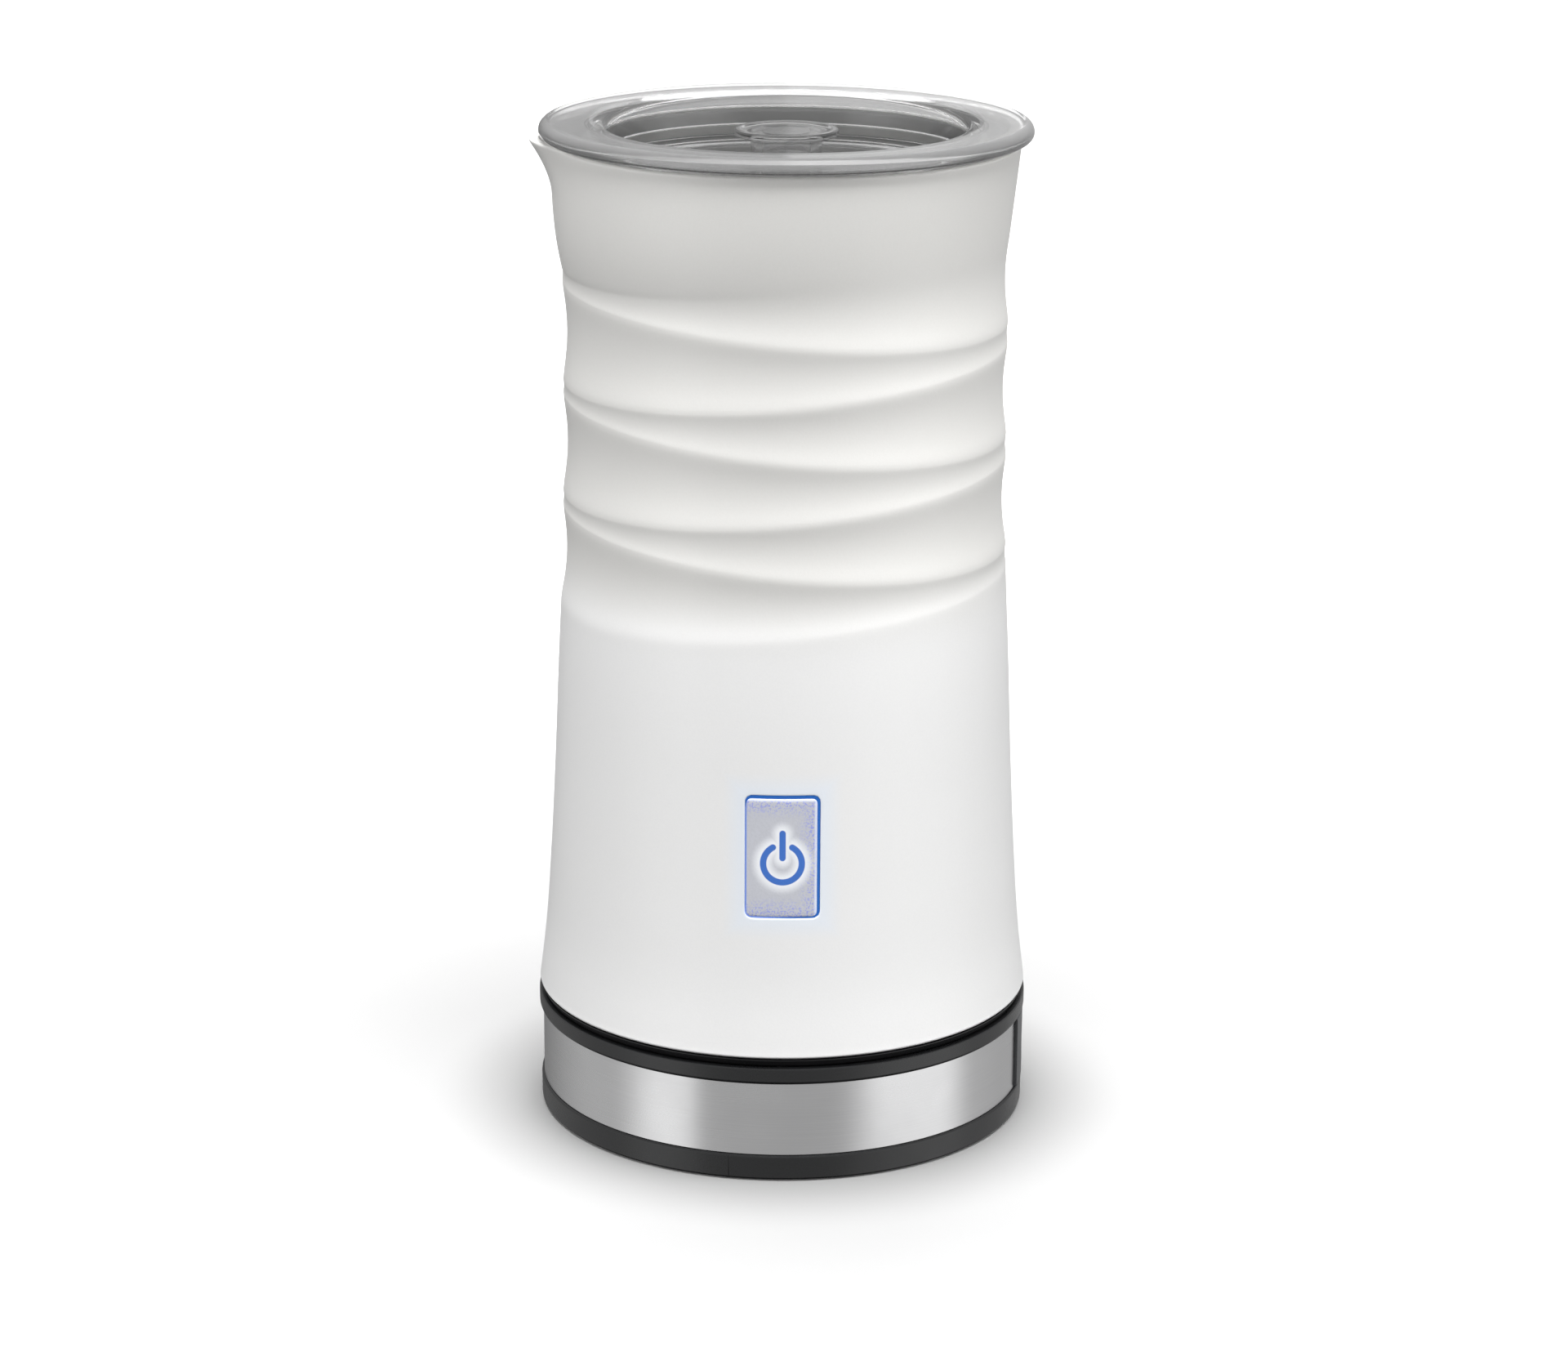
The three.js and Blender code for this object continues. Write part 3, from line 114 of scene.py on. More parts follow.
KEY_WIDTH = high_of("power_button", 0) - low_of("power_button", 0)
KEY_HEIGHT = high_of("power_button") - low_of("power_button")
WINDOW_MARGIN = 1.1
WINDOW_WIDTH = KEY_WIDTH + 2 * WINDOW_MARGIN
WINDOW_HEIGHT = KEY_HEIGHT + 2 * WINDOW_MARGIN
WINDOW_CORNER = 1.4
WINDOW_MIDDLE = middle_of("power_button") - 0.35
KEY_SHIFT = (-0.15, -0.165)  # how far the key sits to the left and down in its window
GLOW_LINE = (0.45, 0.52)  # the glowing line beside and above the key, on average
KEY_HALF = (WINDOW_WIDTH / 2 - GLOW_LINE[0], WINDOW_HEIGHT / 2 - GLOW_LINE[1])


# ---- outer form of the jug


def smooth_curve(points, x):
    """A smooth curve through (x, y) points, as cubic pieces with matching slopes."""
    xs, ys = np.array(points, float).T
    slopes = np.gradient(ys, xs)
    i = np.clip(np.searchsorted(xs, x) - 1, 0, len(xs) - 2)
    step = xs[i + 1] - xs[i]
    t = (x - xs[i]) / step
    return (
        (1 + 2 * t) * (1 - t) ** 2 * ys[i]
        + t * (1 - t) ** 2 * step * slopes[i]
        + t**2 * (3 - 2 * t) * ys[i + 1]
        + t**2 * (t - 1) * step * slopes[i + 1]
    )


LOWER_PROFILE = [
    (SHELL_LOW, SHELL_LOW_RADIUS),
    (38, 49),
    (54, 47.85),
    (72, 46.9),
    (96, 45.9),
    (118, WAIST_RADIUS + 0.3),
    (136, WAIST_RADIUS),
    (SHELL_TOP, WAIST_RADIUS),
]


def envelope(height):
    """Radius of the smooth form that the crests touch, below the flared top."""
    return smooth_curve(LOWER_PROFILE, height)


def crest_height(index, angle):
    """Height of one crest round the jug; odd crests lean the other way."""
    if index % 2 == 0:
        lean = np.sin(angle - CREST_LEAN)
    else:
        lean = ODD_CREST_RISE / CREST_SWING - np.sin(angle + CREST_LEAN)
    return TOP_CREST - CREST_PITCH * index + CREST_SWING * lean


def flute_depth(share, width):
    hollow = 4 * share * (1 - share)
    return FLUTE_DEPTH_PER_WIDTH * width * (np.hypot(hollow, CREST_ROUNDING) - CREST_ROUNDING)


def lip_reach(angle, height):
    """How far the pouring lip pulls the rim outwards."""
    rise = np.maximum(0, (height - LIP_START) / (SHELL_TOP - LIP_START))
    turn = np.arctan2(np.sin(angle - LIP_ANGLE), np.cos(angle - LIP_ANGLE))
    return LIP_REACH * rise**LIP_CURVE * np.exp(-((turn / LIP_HALF_WIDTH) ** 2))


def relief_row(angles, plain_height):
    """Radius and height round the jug of what would be a level row on a plain wall."""
    if plain_height >= TOP_CREST:
        share = (plain_height - TOP_CREST) / (SHELL_TOP - TOP_CREST)
        first = crest_height(0, angles)
        flare = 1 - (1 - share) ** (2 - np.sin(angles))
        return WAIST_RADIUS + (RIM_RADIUS - WAIST_RADIUS) * flare, first + share * (SHELL_TOP - first)
    if plain_height <= LOWEST_CREST:
        level_below = LOWEST_CREST - 2 * CREST_PITCH
        share = max(0, (plain_height - level_below) / (LOWEST_CREST - level_below))
        height = plain_height + share * (crest_height(CREST_COUNT - 1, angles) - LOWEST_CREST)
        return envelope(height), height
    steps = (TOP_CREST - plain_height) / CREST_PITCH
    index = int(steps)
    share = steps - index
    upper, lower = crest_height(index, angles), crest_height(index + 1, angles)
    height = upper - share * (upper - lower)
    return envelope(height) - flute_depth(share, upper - lower), height


def around(radius, angle, height):
    """A point at an angle round the axis. Angle 0 faces -Y and a quarter turn faces +X."""
    return np.stack(np.broadcast_arrays(radius * np.sin(angle), -radius * np.cos(angle), height), -1)


# ---- meshes and pieces


def soften(outline, steps=5):
    """Rounds the corners of an outline of (x, y) or (x, y, rounding) points."""
    made = []
    count = len(outline)
    for i, point in enumerate(outline):
        corner = Vector(point[:2])
        rounding = point[2] if len(point) > 2 else 0
        if rounding == 0:
            made.append(corner)
            continue
        before = Vector(outline[i - 1][:2]) - corner
        after = Vector(outline[(i + 1) % count][:2]) - corner
        reach = min(rounding, 0.48 * before.length, 0.48 * after.length)
        start, end = corner + before.normalized() * reach, corner + after.normalized() * reach
        for step in range(steps + 1):
            t = step / steps
            made.append(start * (1 - t) ** 2 + corner * 2 * t * (1 - t) + end * t**2)
    return np.array(made)


def turned(outline, sides=FINE_SIDES, start=0.0, turn=TURN):
    """Vertices and faces of an outline of (radius, height) points turned round Z."""
    points = soften(outline)
    whole = turn >= TURN
    columns = sides if whole else sides + 1
    angles = start + turn * np.arange(columns) / sides
    vertices = around(points[None, :, 0], angles[:, None], points[None, :, 1]).reshape(-1, 3)
    rows = len(points)
    on_axis = points[0][0] == 0 and points[-1][0] == 0
    faces = []
    for i in range(sides):
        a, b = i * rows, ((i + 1) % columns) * rows
        for j in range(rows - 1 if on_axis else rows):
            k = (j + 1) % rows
            faces.append((a + j, b + j, b + k, a + k))
    if not whole:
        faces.append(tuple(range(rows)))
        faces.append(tuple(sides * rows + j for j in reversed(range(rows))))
    return vertices, faces


def mesh_object(name, vertices, faces, sharp_angle=SHARP_ANGLE):
    """A closed mesh with its doubled points merged and its faces pointing out."""
    mesh = bpy.data.meshes.new(name)
    mesh.from_pydata([tuple(v) for v in np.asarray(vertices) * MM], [], faces)
    work = bmesh.new()
    work.from_mesh(mesh)
    bmesh.ops.remove_doubles(work, verts=work.verts, dist=1e-7)
    bmesh.ops.dissolve_degenerate(work, edges=work.edges, dist=1e-8)
    bmesh.ops.recalc_face_normals(work, faces=work.faces)
    work.to_mesh(mesh)
    work.free()
    mesh.shade_smooth()
    mesh.set_sharp_from_angle(angle=sharp_angle)
    made = bpy.data.objects.new(name, mesh)
    bpy.context.scene.collection.objects.link(made)
    return made


def join_parts(*parts):
    """Several (vertices, faces) lists as one."""
    vertices, faces = [], []
    for points, part_faces in parts:
        first = len(vertices)
        vertices.extend(np.asarray(points).tolist())
        faces.extend(tuple(first + i for i in face) for face in part_faces)
    return vertices, faces


def moved(part, x, y):
    vertices, faces = part
    return np.asarray(vertices) + np.array([x, y, 0]), faces


def transformed(part, matrix):
    vertices, faces = part
    return np.array([matrix @ Vector(v) for v in vertices]), faces


def cut(target, tool_parts):
    """Cuts closed parts out of an object."""
    tool = mesh_object("cutting_tool", *join_parts(*tool_parts))
    modifier = target.modifiers.new("cut", "BOOLEAN")
    modifier.operation = "DIFFERENCE"
    modifier.solver = "EXACT"
    modifier.object = tool
    bpy.context.view_layer.update()
    evaluated = target.evaluated_get(bpy.context.evaluated_depsgraph_get())
    result = bpy.data.meshes.new_from_object(evaluated)
    target.modifiers.clear()
    target.data = result
    bpy.data.objects.remove(tool)
    result.set_sharp_from_angle(angle=SHARP_ANGLE)


def finish_piece(made, body, slot, *nodes, material=None, weighted=True):
    """Gives a piece its body and the material of its slot, and hides the CAD nodes that it stands for."""
    made.data.materials.clear()
    made.data.materials.append(MATERIALS[material or slot])
    if weighted:
        made.modifiers.new("even_shading", "WEIGHTED_NORMAL").keep_sharp = True
    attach(made, body)
    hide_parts(*nodes)


def turned_piece(node, outline, body, slot, *shape):
    """A finer turned piece in place of a CAD node."""
    made = mesh_object(f"{node}_fine", *turned(outline, *shape))
    finish_piece(made, body, slot, node)


# ---- materials


def add(tree, kind, inputs=None, **settings):
    """A new node with its settings made and its inputs given as values or linked sockets."""
    made = tree.nodes.new(kind)
    for key, value in settings.items():
        setattr(made, key, value)
    for key, value in (inputs or {}).items():
        if isinstance(value, bpy.types.NodeSocket):
            tree.links.new(value, made.inputs[key])
        else:
            made.inputs[key].default_value = value
    return made


def math_node(tree, operation, *values):
    return add(tree, "ShaderNodeMath", dict(enumerate(values)), operation=operation).outputs[0]


def plus(tree, first, second):
    return math_node(tree, "ADD", first, second)


def minus(tree, first, second):
    return math_node(tree, "SUBTRACT", first, second)


def times(tree, first, second):
    return math_node(tree, "MULTIPLY", first, second)


def distance_of(tree, across, up):
    return math_node(tree, "SQRT", plus(tree, times(tree, across, across), times(tree, up, up)))


def tinted(tree, color, tint):
    return add(tree, "ShaderNodeVectorMath", {0: color, 1: tint}, operation="MULTIPLY").outputs[0]


def place_on_object(tree):
    """The X, Y and Z of a point, in metres in the object's own coordinates."""
    place = add(tree, "ShaderNodeTexCoord").outputs["Object"]
    return add(tree, "ShaderNodeSeparateXYZ", {0: place}).outputs


def ramp(tree, value, low, high, to_low=0.0, to_high=1.0):
    """Maps a value from low..high to to_low..to_high along a smooth step."""
    inputs = {"Value": value, "From Min": low, "From Max": high, "To Min": to_low, "To Max": to_high}
    return add(tree, "ShaderNodeMapRange", inputs, interpolation_type="SMOOTHSTEP").outputs[0]


def mix_colors(tree, share, first, second):
    made = tree.nodes.new("ShaderNodeMix")
    made.data_type = "RGBA"
    for socket, value in ((made.inputs[0], share), (made.inputs[6], first), (made.inputs[7], second)):
        if isinstance(value, bpy.types.NodeSocket):
            tree.links.new(value, socket)
        else:
            socket.default_value = value
    return made.outputs[2]


def noise(tree, scale, detail=3.0, stretch=(1, 1, 1)):
    """Noise over the object's own coordinates, in cycles per metre."""
    place = add(tree, "ShaderNodeTexCoord").outputs["Object"]
    if stretch != (1, 1, 1):
        place = add(tree, "ShaderNodeMapping", {"Vector": place, "Scale": stretch}).outputs[0]
    inputs = {"Vector": place, "Scale": scale, "Detail": detail}
    return add(tree, "ShaderNodeTexNoise", inputs).outputs["Fac"]


def opaque(color):
    return (*color, 1.0)


def surface(
    name, color, roughness, metallic=0.0, color_change=0.06, roughness_change=0.08,
    patch_scale=60, grain_scale=2500, grain_depth=0.02, stretch=(1, 1, 1), **constants,
):
    """A material with soft patches of colour and gloss, and a fine grain in its surface."""
    material = bpy.data.materials.new(name)
    material.use_nodes = True
    tree = material.node_tree
    shader = tree.nodes["Principled BSDF"]
    shader.inputs["Metallic"].default_value = metallic
    for key, value in constants.items():
        shader.inputs[key.replace("_", " ")].default_value = value
    patches = noise(tree, patch_scale)
    grain = noise(tree, grain_scale, stretch=stretch)
    darker = [channel * (1 - color_change) for channel in color]
    tint = mix_colors(tree, patches, opaque(darker), opaque(color))
    grain_tint = ramp(tree, grain, 0.3, 0.7, 1 - color_change, 1)
    tree.links.new(tinted(tree, tint, grain_tint), shader.inputs["Base Color"])
    gloss = plus(tree, patches, times(tree, grain, 0.5))
    rough = ramp(tree, gloss, 0.45, 1.05, roughness - roughness_change, roughness + roughness_change)
    tree.links.new(rough, shader.inputs["Roughness"])
    bump = add(tree, "ShaderNodeBump", {"Height": grain, "Distance": grain_depth * MM, "Strength": 1.0})
    tree.links.new(bump.outputs[0], shader.inputs["Normal"])
    return material


def shader_of(material):
    """A material's node tree, its shader, and the colour that surface() made for it."""
    tree = material.node_tree
    shader = tree.nodes["Principled BSDF"]
    return tree, shader, shader.inputs["Base Color"].links[0].from_socket


def brushed(name, color, roughness, stretch, grain_scale=900, anisotropic=0.6):
    """Metal with fine brush lines; stretch is large across the lines and small along them."""
    material = surface(
        name,
        color,
        roughness,
        metallic=1.0,
        color_change=0.05,
        roughness_change=0.05,
        grain_scale=grain_scale,
        grain_depth=0.004,
        stretch=stretch,
        Anisotropic=anisotropic,
        Anisotropic_Rotation=0.25,
    )
    tree, shader, _ = shader_of(material)
    tangent = add(tree, "ShaderNodeTangent", direction_type="RADIAL", axis="Z")
    tree.links.new(tangent.outputs[0], shader.inputs["Tangent"])
    return material


def white_plastic():
    """Satin white, with painted shade that makes it warmer and darker above its smooth foot, and a painted blue
    glow from the key's light on the shell round the key's window.
    """
    material = surface(
        "white_satin_plastic",
        (0.8, 0.8, 0.798),
        0.36,
        color_change=0.015,
        roughness_change=0.05,
        grain_depth=0.012,
        patch_scale=35,
    )
    tree, shader, plain = shader_of(material)
    place = place_on_object(tree)
    # Painted blue glow: the key's light is painted into the shell's colour on its front, round the window.
    side = math_node(tree, "ABSOLUTE", place["X"])
    up = minus(tree, place["Z"], WINDOW_MIDDLE * MM)
    beside = minus(tree, side, WINDOW_WIDTH / 2 * MM)
    beyond = minus(tree, math_node(tree, "ABSOLUTE", up), WINDOW_HEIGHT / 2 * MM)
    away = math_node(tree, "MAXIMUM", beside, beyond)
    near = ramp(tree, away, 0, 5 * MM, 0.35, 0)
    in_front = math_node(tree, "LESS_THAN", place["Y"], 0.0)
    painted_glow = times(tree, near, in_front)
    color = mix_colors(tree, painted_glow, plain, opaque((0.68, 0.79, 0.94)))
    # Painted shade: the colour is warmer and darker above the smooth foot, standing in for less light up the
    # body.
    upper = ramp(tree, place["Z"], 104 * MM, 122 * MM)
    tint = mix_colors(tree, upper, opaque((1, 1, 1)), opaque((0.915, 0.908, 0.885)))
    tree.links.new(tinted(tree, color, tint), shader.inputs["Base Color"])
    return material


def black_plastic():
    return surface(
        "black_satin_plastic",
        (0.011, 0.0113, 0.0122),
        0.32,
        color_change=0.25,
        grain_depth=0.015,
    )


def grey_plastic():
    return surface("dark_grey_plastic", (0.06, 0.062, 0.066), 0.42, color_change=0.15)


def clear_plastic(name, clearness):
    """Polished clear plastic with faint swirls from wiping; what isn't clear is a pale haze."""
    material = surface(
        name,
        (0.955, 0.955, 0.955),
        0.06,
        color_change=0.01,
        roughness_change=0.02,
        patch_scale=90,
        grain_scale=1400,
        grain_depth=0.002,
        stretch=(1, 1, 0.2),
        IOR=1.49,
    )
    shader_of(material)[1].inputs["Transmission Weight"].default_value = clearness
    return material


def lit_plastic():
    """Light guide glowing blue, stronger along its top and right side."""
    material = surface("lit_light_guide", (0.01, 0.03, 0.09), 0.3, color_change=0.1)
    tree, shader, _ = shader_of(material)
    place = place_on_object(tree)
    right = ramp(tree, place["X"], -0.3 * KEY_WIDTH * MM, 0.45 * KEY_WIDTH * MM)
    top_edge = (WINDOW_MIDDLE + WINDOW_HEIGHT / 2) * MM
    top = ramp(tree, place["Z"], top_edge - 3 * MM, top_edge - 1 * MM)
    strong = math_node(tree, "MAXIMUM", right, top)
    glow = mix_colors(tree, strong, opaque((0.17, 0.27, 0.7)), opaque((0.003, 0.09, 0.38)))
    tree.links.new(glow, shader.inputs["Emission Color"])
    shader.inputs["Emission Strength"].default_value = 1.0
    return material


RING_BELOW_MIDDLE = 1.25
RING_RADIUS = 3.8
STROKE = 1.26
RING_GAP = math.radians(30)
BAR_LOW = 1.15
BAR_HIGH = 6.1


def power_symbol(tree, x, z):
    """Distance in metres from the power symbol's strokes, from coordinates about the ring's middle."""
    radius = distance_of(tree, x, z)
    ring = math_node(tree, "ABSOLUTE", minus(tree, radius, RING_RADIUS * MM))
    side = math_node(tree, "ABSOLUTE", x)
    end_x = minus(tree, side, RING_RADIUS * math.sin(RING_GAP) * MM)
    end_z = minus(tree, z, RING_RADIUS * math.cos(RING_GAP) * MM)
    end = distance_of(tree, end_x, end_z)
    from_top = math_node(tree, "ARCTAN2", side, z)
    in_gap = math_node(tree, "LESS_THAN", from_top, RING_GAP)
    ring = plus(tree, times(tree, end, in_gap), times(tree, ring, minus(tree, 1.0, in_gap)))
    nearest = math_node(tree, "MINIMUM", math_node(tree, "MAXIMUM", z, BAR_LOW * MM), BAR_HIGH * MM)
    bar = distance_of(tree, x, minus(tree, z, nearest))
    return math_node(tree, "MINIMUM", ring, bar)


def key_plastic():
    """Translucent key with a lit power symbol, a painted pale glow round it, a painted pale glow along its top
    and right edges, and its grain tinted with painted blue light near the edges.
    """
    material = surface(
        "lit_key_plastic",
        (0.52, 0.53, 0.575),
        0.5,
        color_change=0.05,
        grain_scale=2200,
        grain_depth=0.03,
    )
    tree, shader, plain = shader_of(material)
    place = place_on_object(tree)
    x = place["X"]
    z = minus(tree, place["Z"], (WINDOW_MIDDLE - RING_BELOW_MIDDLE) * MM)
    distance = power_symbol(tree, x, z)
    stroke_edge = STROKE / 2 * MM
    mark = ramp(tree, distance, stroke_edge - 0.08 * MM, stroke_edge + 0.08 * MM, 1, 0)
    # Painted glow round the power symbol, in the key's colour as well as its emission.
    painted_glow = ramp(tree, distance, stroke_edge, stroke_edge + 2.2 * MM, 0.85, 0)
    across = minus(tree, x, KEY_SHIFT[0] * MM)
    up = minus(tree, place["Z"], (WINDOW_MIDDLE + KEY_SHIFT[1]) * MM)
    to_right = minus(tree, KEY_HALF[0] * MM, across)
    to_top = minus(tree, KEY_HALF[1] * MM, up)
    to_bottom = plus(tree, KEY_HALF[1] * MM, up)
    to_bright = math_node(tree, "MINIMUM", to_right, to_top)
    to_edge = math_node(tree, "MINIMUM", to_bright, to_bottom)
    # Painted blue light from the light guide, shown in the key's grain near its edges.
    near_edge = ramp(tree, to_edge, 0.2 * MM, 4.5 * MM, 1, 0)
    specks = ramp(tree, noise(tree, 3000, detail=2.0), 0.5, 0.6)
    grain_with_painted_glow = times(tree, near_edge, specks)
    color = mix_colors(tree, times(tree, grain_with_painted_glow, 0.8), plain, opaque((0.2, 0.24, 0.72)))
    # Painted pale glow from the light guide along the key's top and right edges.
    border = ramp(tree, to_bright, 0.3 * MM, 0.75 * MM, 0.7, 0)
    color = mix_colors(tree, border, color, opaque((0.75, 0.78, 0.88)))
    color = mix_colors(tree, painted_glow, color, opaque((0.8, 0.81, 0.83)))
    color = mix_colors(tree, mark, color, opaque((0.045, 0.135, 0.44)))
    tree.links.new(color, shader.inputs["Base Color"])
    glow = mix_colors(tree, mark, opaque((0.5, 0.55, 0.62)), opaque((0.04, 0.13, 0.5)))
    tree.links.new(glow, shader.inputs["Emission Color"])
    strength = plus(tree, times(tree, painted_glow, 0.12), 0.04)
    tree.links.new(strength, shader.inputs["Emission Strength"])
    return material


def silicone():
    return surface("pale_silicone", (0.62, 0.62, 0.6), 0.55, color_change=0.05, grain_depth=0.01)


def rubber():
    return surface("black_rubber", (0.02, 0.02, 0.021), 0.75, color_change=0.3, grain_depth=0.05)


def board():
    """Green solder mask over copper tracks."""
    material = surface("board_green", (0.015, 0.13, 0.05), 0.4, color_change=0.2)
    tree, shader, plain = shader_of(material)
    place = add(tree, "ShaderNodeTexCoord").outputs["Object"]
    upright = add(tree, "ShaderNodeMapping", {"Vector": place, "Rotation": (math.pi / 2, 0, 0)})
    bricks = {"Vector": upright.outputs[0], "Scale": 250.0, "Mortar Size": 0.04}
    tracks = add(tree, "ShaderNodeTexBrick", bricks).outputs["Fac"]
    color = mix_colors(tree, tracks, plain, opaque((0.04, 0.26, 0.09)))
    tree.links.new(color, shader.inputs["Base Color"])
    return material


MATERIALS = {
    "white_plastic": white_plastic(),
    "black_plastic": black_plastic(),
    "grey_plastic": grey_plastic(),
    "brushed_steel": brushed(
        "brushed_steel_band", (0.66, 0.66, 0.665), 0.3, (0.04, 0.04, 6), anisotropic=0.8
    ),
    "cup_steel": brushed("spun_steel_cup", (0.4, 0.4, 0.4), 0.46, (0.05, 0.05, 4)),
    "bare_steel": brushed("drawn_steel", (0.5, 0.5, 0.505), 0.35, (1, 1, 0.1), 1500, 0.2),
    "clear_plastic": clear_plastic("clear_polished_plastic", 0.97),
    "hazy_plastic": clear_plastic("clear_hazy_plastic", 0.87),
    "lit_plastic": lit_plastic(),
    "key_plastic": key_plastic(),
    "silicone": silicone(),
    "rubber": rubber(),
    "brass": surface("turned_brass", (0.62, 0.44, 0.17), 0.3, 1.0, grain_scale=900, stretch=(0.1, 0.1, 5)),
    "aluminium": surface("cast_aluminium", (0.6, 0.61, 0.62), 0.45, 1.0, grain_depth=0.05),
    "magnet_plate": surface("nickel_plate", (0.55, 0.54, 0.52), 0.22, 1.0, grain_depth=0.004),
    "circuit_board": board(),
}


# ---- jug shell with its window


def rounded_loop(half_width, half_height, corner, shares):
    """Points round a rounded rectangle at shares of its length, from the middle of its lower left corner."""
    quarter = corner * math.pi / 2
    lengths = [2 * (half_width - corner), quarter, 2 * (half_height - corner), quarter] * 2
    total = sum(lengths)
    made = []
    for share in shares:
        along = (share * total - quarter / 2) % total
        side = 0
        while along > lengths[side]:
            along -= lengths[side]
            side += 1
        heading = side // 2 * math.pi / 2
        sign_x, sign_z = ((1, -1), (1, 1), (-1, 1), (-1, -1))[side // 2]
        middle = np.array([sign_x * (half_width - corner), sign_z * (half_height - corner)])
        if side % 2 == 0:
            outward = np.array([math.sin(heading), -math.cos(heading)])
            forward = np.array([math.cos(heading), math.sin(heading)])
            made.append(middle + outward * corner - forward * (lengths[side] - along))
        else:
            angle = heading - math.pi / 2 + along / corner
            made.append(middle + corner * np.array([math.cos(angle), math.sin(angle)]))
    return np.array(made)


def skin_loop(points, inset):
    """Points (x, z about the window's middle) laid on the jug's skin, an inset below it."""
    height = points[:, 1] + WINDOW_MIDDLE
    radius = envelope(height) - inset
    return around(radius, np.arcsin(points[:, 0] / radius), height)


def band_between(first, second):
    count = len(first)
    return [(first[i], first[(i + 1) % count], second[(i + 1) % count], second[i]) for i in range(count)]


LINER_TOP = 180
LINER_PROFILE = [(SHELL_LOW, 48), (50, 46), (72, 44.6), (96, 43.6), (118, 42.2), (LINER_TOP, 42.2)]
LEAST_WALL = 0.6


def liner_radius(height):
    """Radius of the shell's inner face below its flared mouth."""
    return np.minimum(np.interp(height, *zip(*LINER_PROFILE)), envelope(height) - LEAST_WALL)


def shell_rows(angles):
    """Every row of points of the shell, from its foot up outside, over the rim and down inside."""
    rows_below, rows_per_flute, rows_above = 70, 14, 24
    edge = 0.7
    plain = [
        *np.linspace(SHELL_LOW + edge, LOWEST_CREST, rows_below, endpoint=False),
        *np.linspace(LOWEST_CREST, TOP_CREST, (CREST_COUNT - 1) * rows_per_flute, endpoint=False),
        *np.linspace(TOP_CREST, SHELL_TOP - edge, rows_above),
    ]
    rows = [relief_row(angles, height) for height in plain]
    corner = np.linspace(0, math.pi / 2, 6)[1:]
    rows += [(RIM_RADIUS - edge * (1 - math.cos(a)), SHELL_TOP - edge * (1 - math.sin(a))) for a in corner]
    mouth = radius_of("inner_cup") + 0.4
    ledge = mouth - 1.3
    ledge_height = low_of("rim_seal") - GAP
    under_ledge = LINER_TOP + 10
    rows += [(mouth, SHELL_TOP), (mouth, ledge_height), (ledge, ledge_height), (ledge, under_ledge)]
    inner_heights = [height for height in plain if height < LINER_TOP][::-1]
    inner_start = len(rows)
    rows += [(liner_radius(height), height) for height in inner_heights]
    foot_inner = liner_radius(SHELL_LOW)
    rows += [(foot_inner, SHELL_LOW), (SHELL_LOW_RADIUS - edge, SHELL_LOW)]
    rows += [
        (SHELL_LOW_RADIUS - edge * (1 - math.sin(a)), SHELL_LOW + edge * (1 - math.cos(a)))
        for a in corner[:-1]
    ]
    return plain, inner_start, inner_heights, rows


def outer_shell():
    columns = 240
    angles = -math.pi + TURN * np.arange(columns) / columns
    plain, inner_start, inner_heights, rows = shell_rows(angles)
    grid = [around(radius + lip_reach(angles, height), angles, height) for radius, height in rows]
    vertices = np.concatenate(grid).tolist()

    def index(row, column):
        return (row % len(rows)) * columns + column % columns

    # The block of the grid that gives way to the window, outside and inside
    half_columns = round(columns * 12 / (TURN * WAIST_RADIUS))
    left, right = columns // 2 - half_columns, columns // 2 + half_columns
    reach = KEY_HEIGHT / 2 + 5
    low, high = (int(np.searchsorted(plain, WINDOW_MIDDLE + side * reach)) for side in (-1, 1))
    inner_high = inner_start + inner_heights.index(plain[high])
    inner_low = inner_start + inner_heights.index(plain[low])

    def in_block(row, column):
        if not left <= column < right:
            return False
        return low <= row < high or inner_high <= row < inner_low

    faces = [
        (index(row, column), index(row, column + 1), index(row + 1, column + 1), index(row + 1, column))
        for row in range(len(rows))
        for column in range(columns)
        if not in_block(row, column)
    ]

    def border(bottom, top):
        step = 1 if top > bottom else -1
        return (
            [index(bottom, c) for c in range(left, right)]
            + [index(r, right) for r in range(bottom, top, step)]
            + [index(top, c) for c in range(right, left, -1)]
            + [index(r, left) for r in range(top, bottom, -step)]
        )

    outside, inside = border(low, high), border(inner_low, inner_high)
    points = np.array(vertices)[outside]
    flat = np.stack([points[:, 0], points[:, 2] - WINDOW_MIDDLE], -1)
    lengths = np.linalg.norm(np.roll(flat, -1, 0) - flat, axis=1)
    shares = np.concatenate([[0], np.cumsum(lengths)[:-1]]) / lengths.sum()
    edge = 0.2
    half_width, half_height = WINDOW_WIDTH / 2, WINDOW_HEIGHT / 2

    def window(growth):
        return rounded_loop(half_width + growth, half_height + growth, WINDOW_CORNER + growth, shares)

    loops = [(flat * share + window(edge) * (1 - share), 0) for share in (0.7, 0.45, 0.25, 0.1, 0)]
    loops += [
        (window(edge * (1 - math.sin(a))), edge * (1 - math.cos(a)))
        for a in np.linspace(0, math.pi / 2, 6)[1:]
    ]
    loops += [(window(0), WALL)]
    previous = outside
    for loop, inset in loops:
        first = len(vertices)
        vertices.extend(skin_loop(loop, inset).tolist())
        current = list(range(first, first + len(loop)))
        faces += band_between(previous, current)
        previous = current
    faces += band_between(previous, inside)
    made = mesh_object("outer_shell_fine", vertices, faces, math.radians(50))
    finish_piece(made, "jug", "white_plastic", "outer_shell", weighted=False)


# ---- button


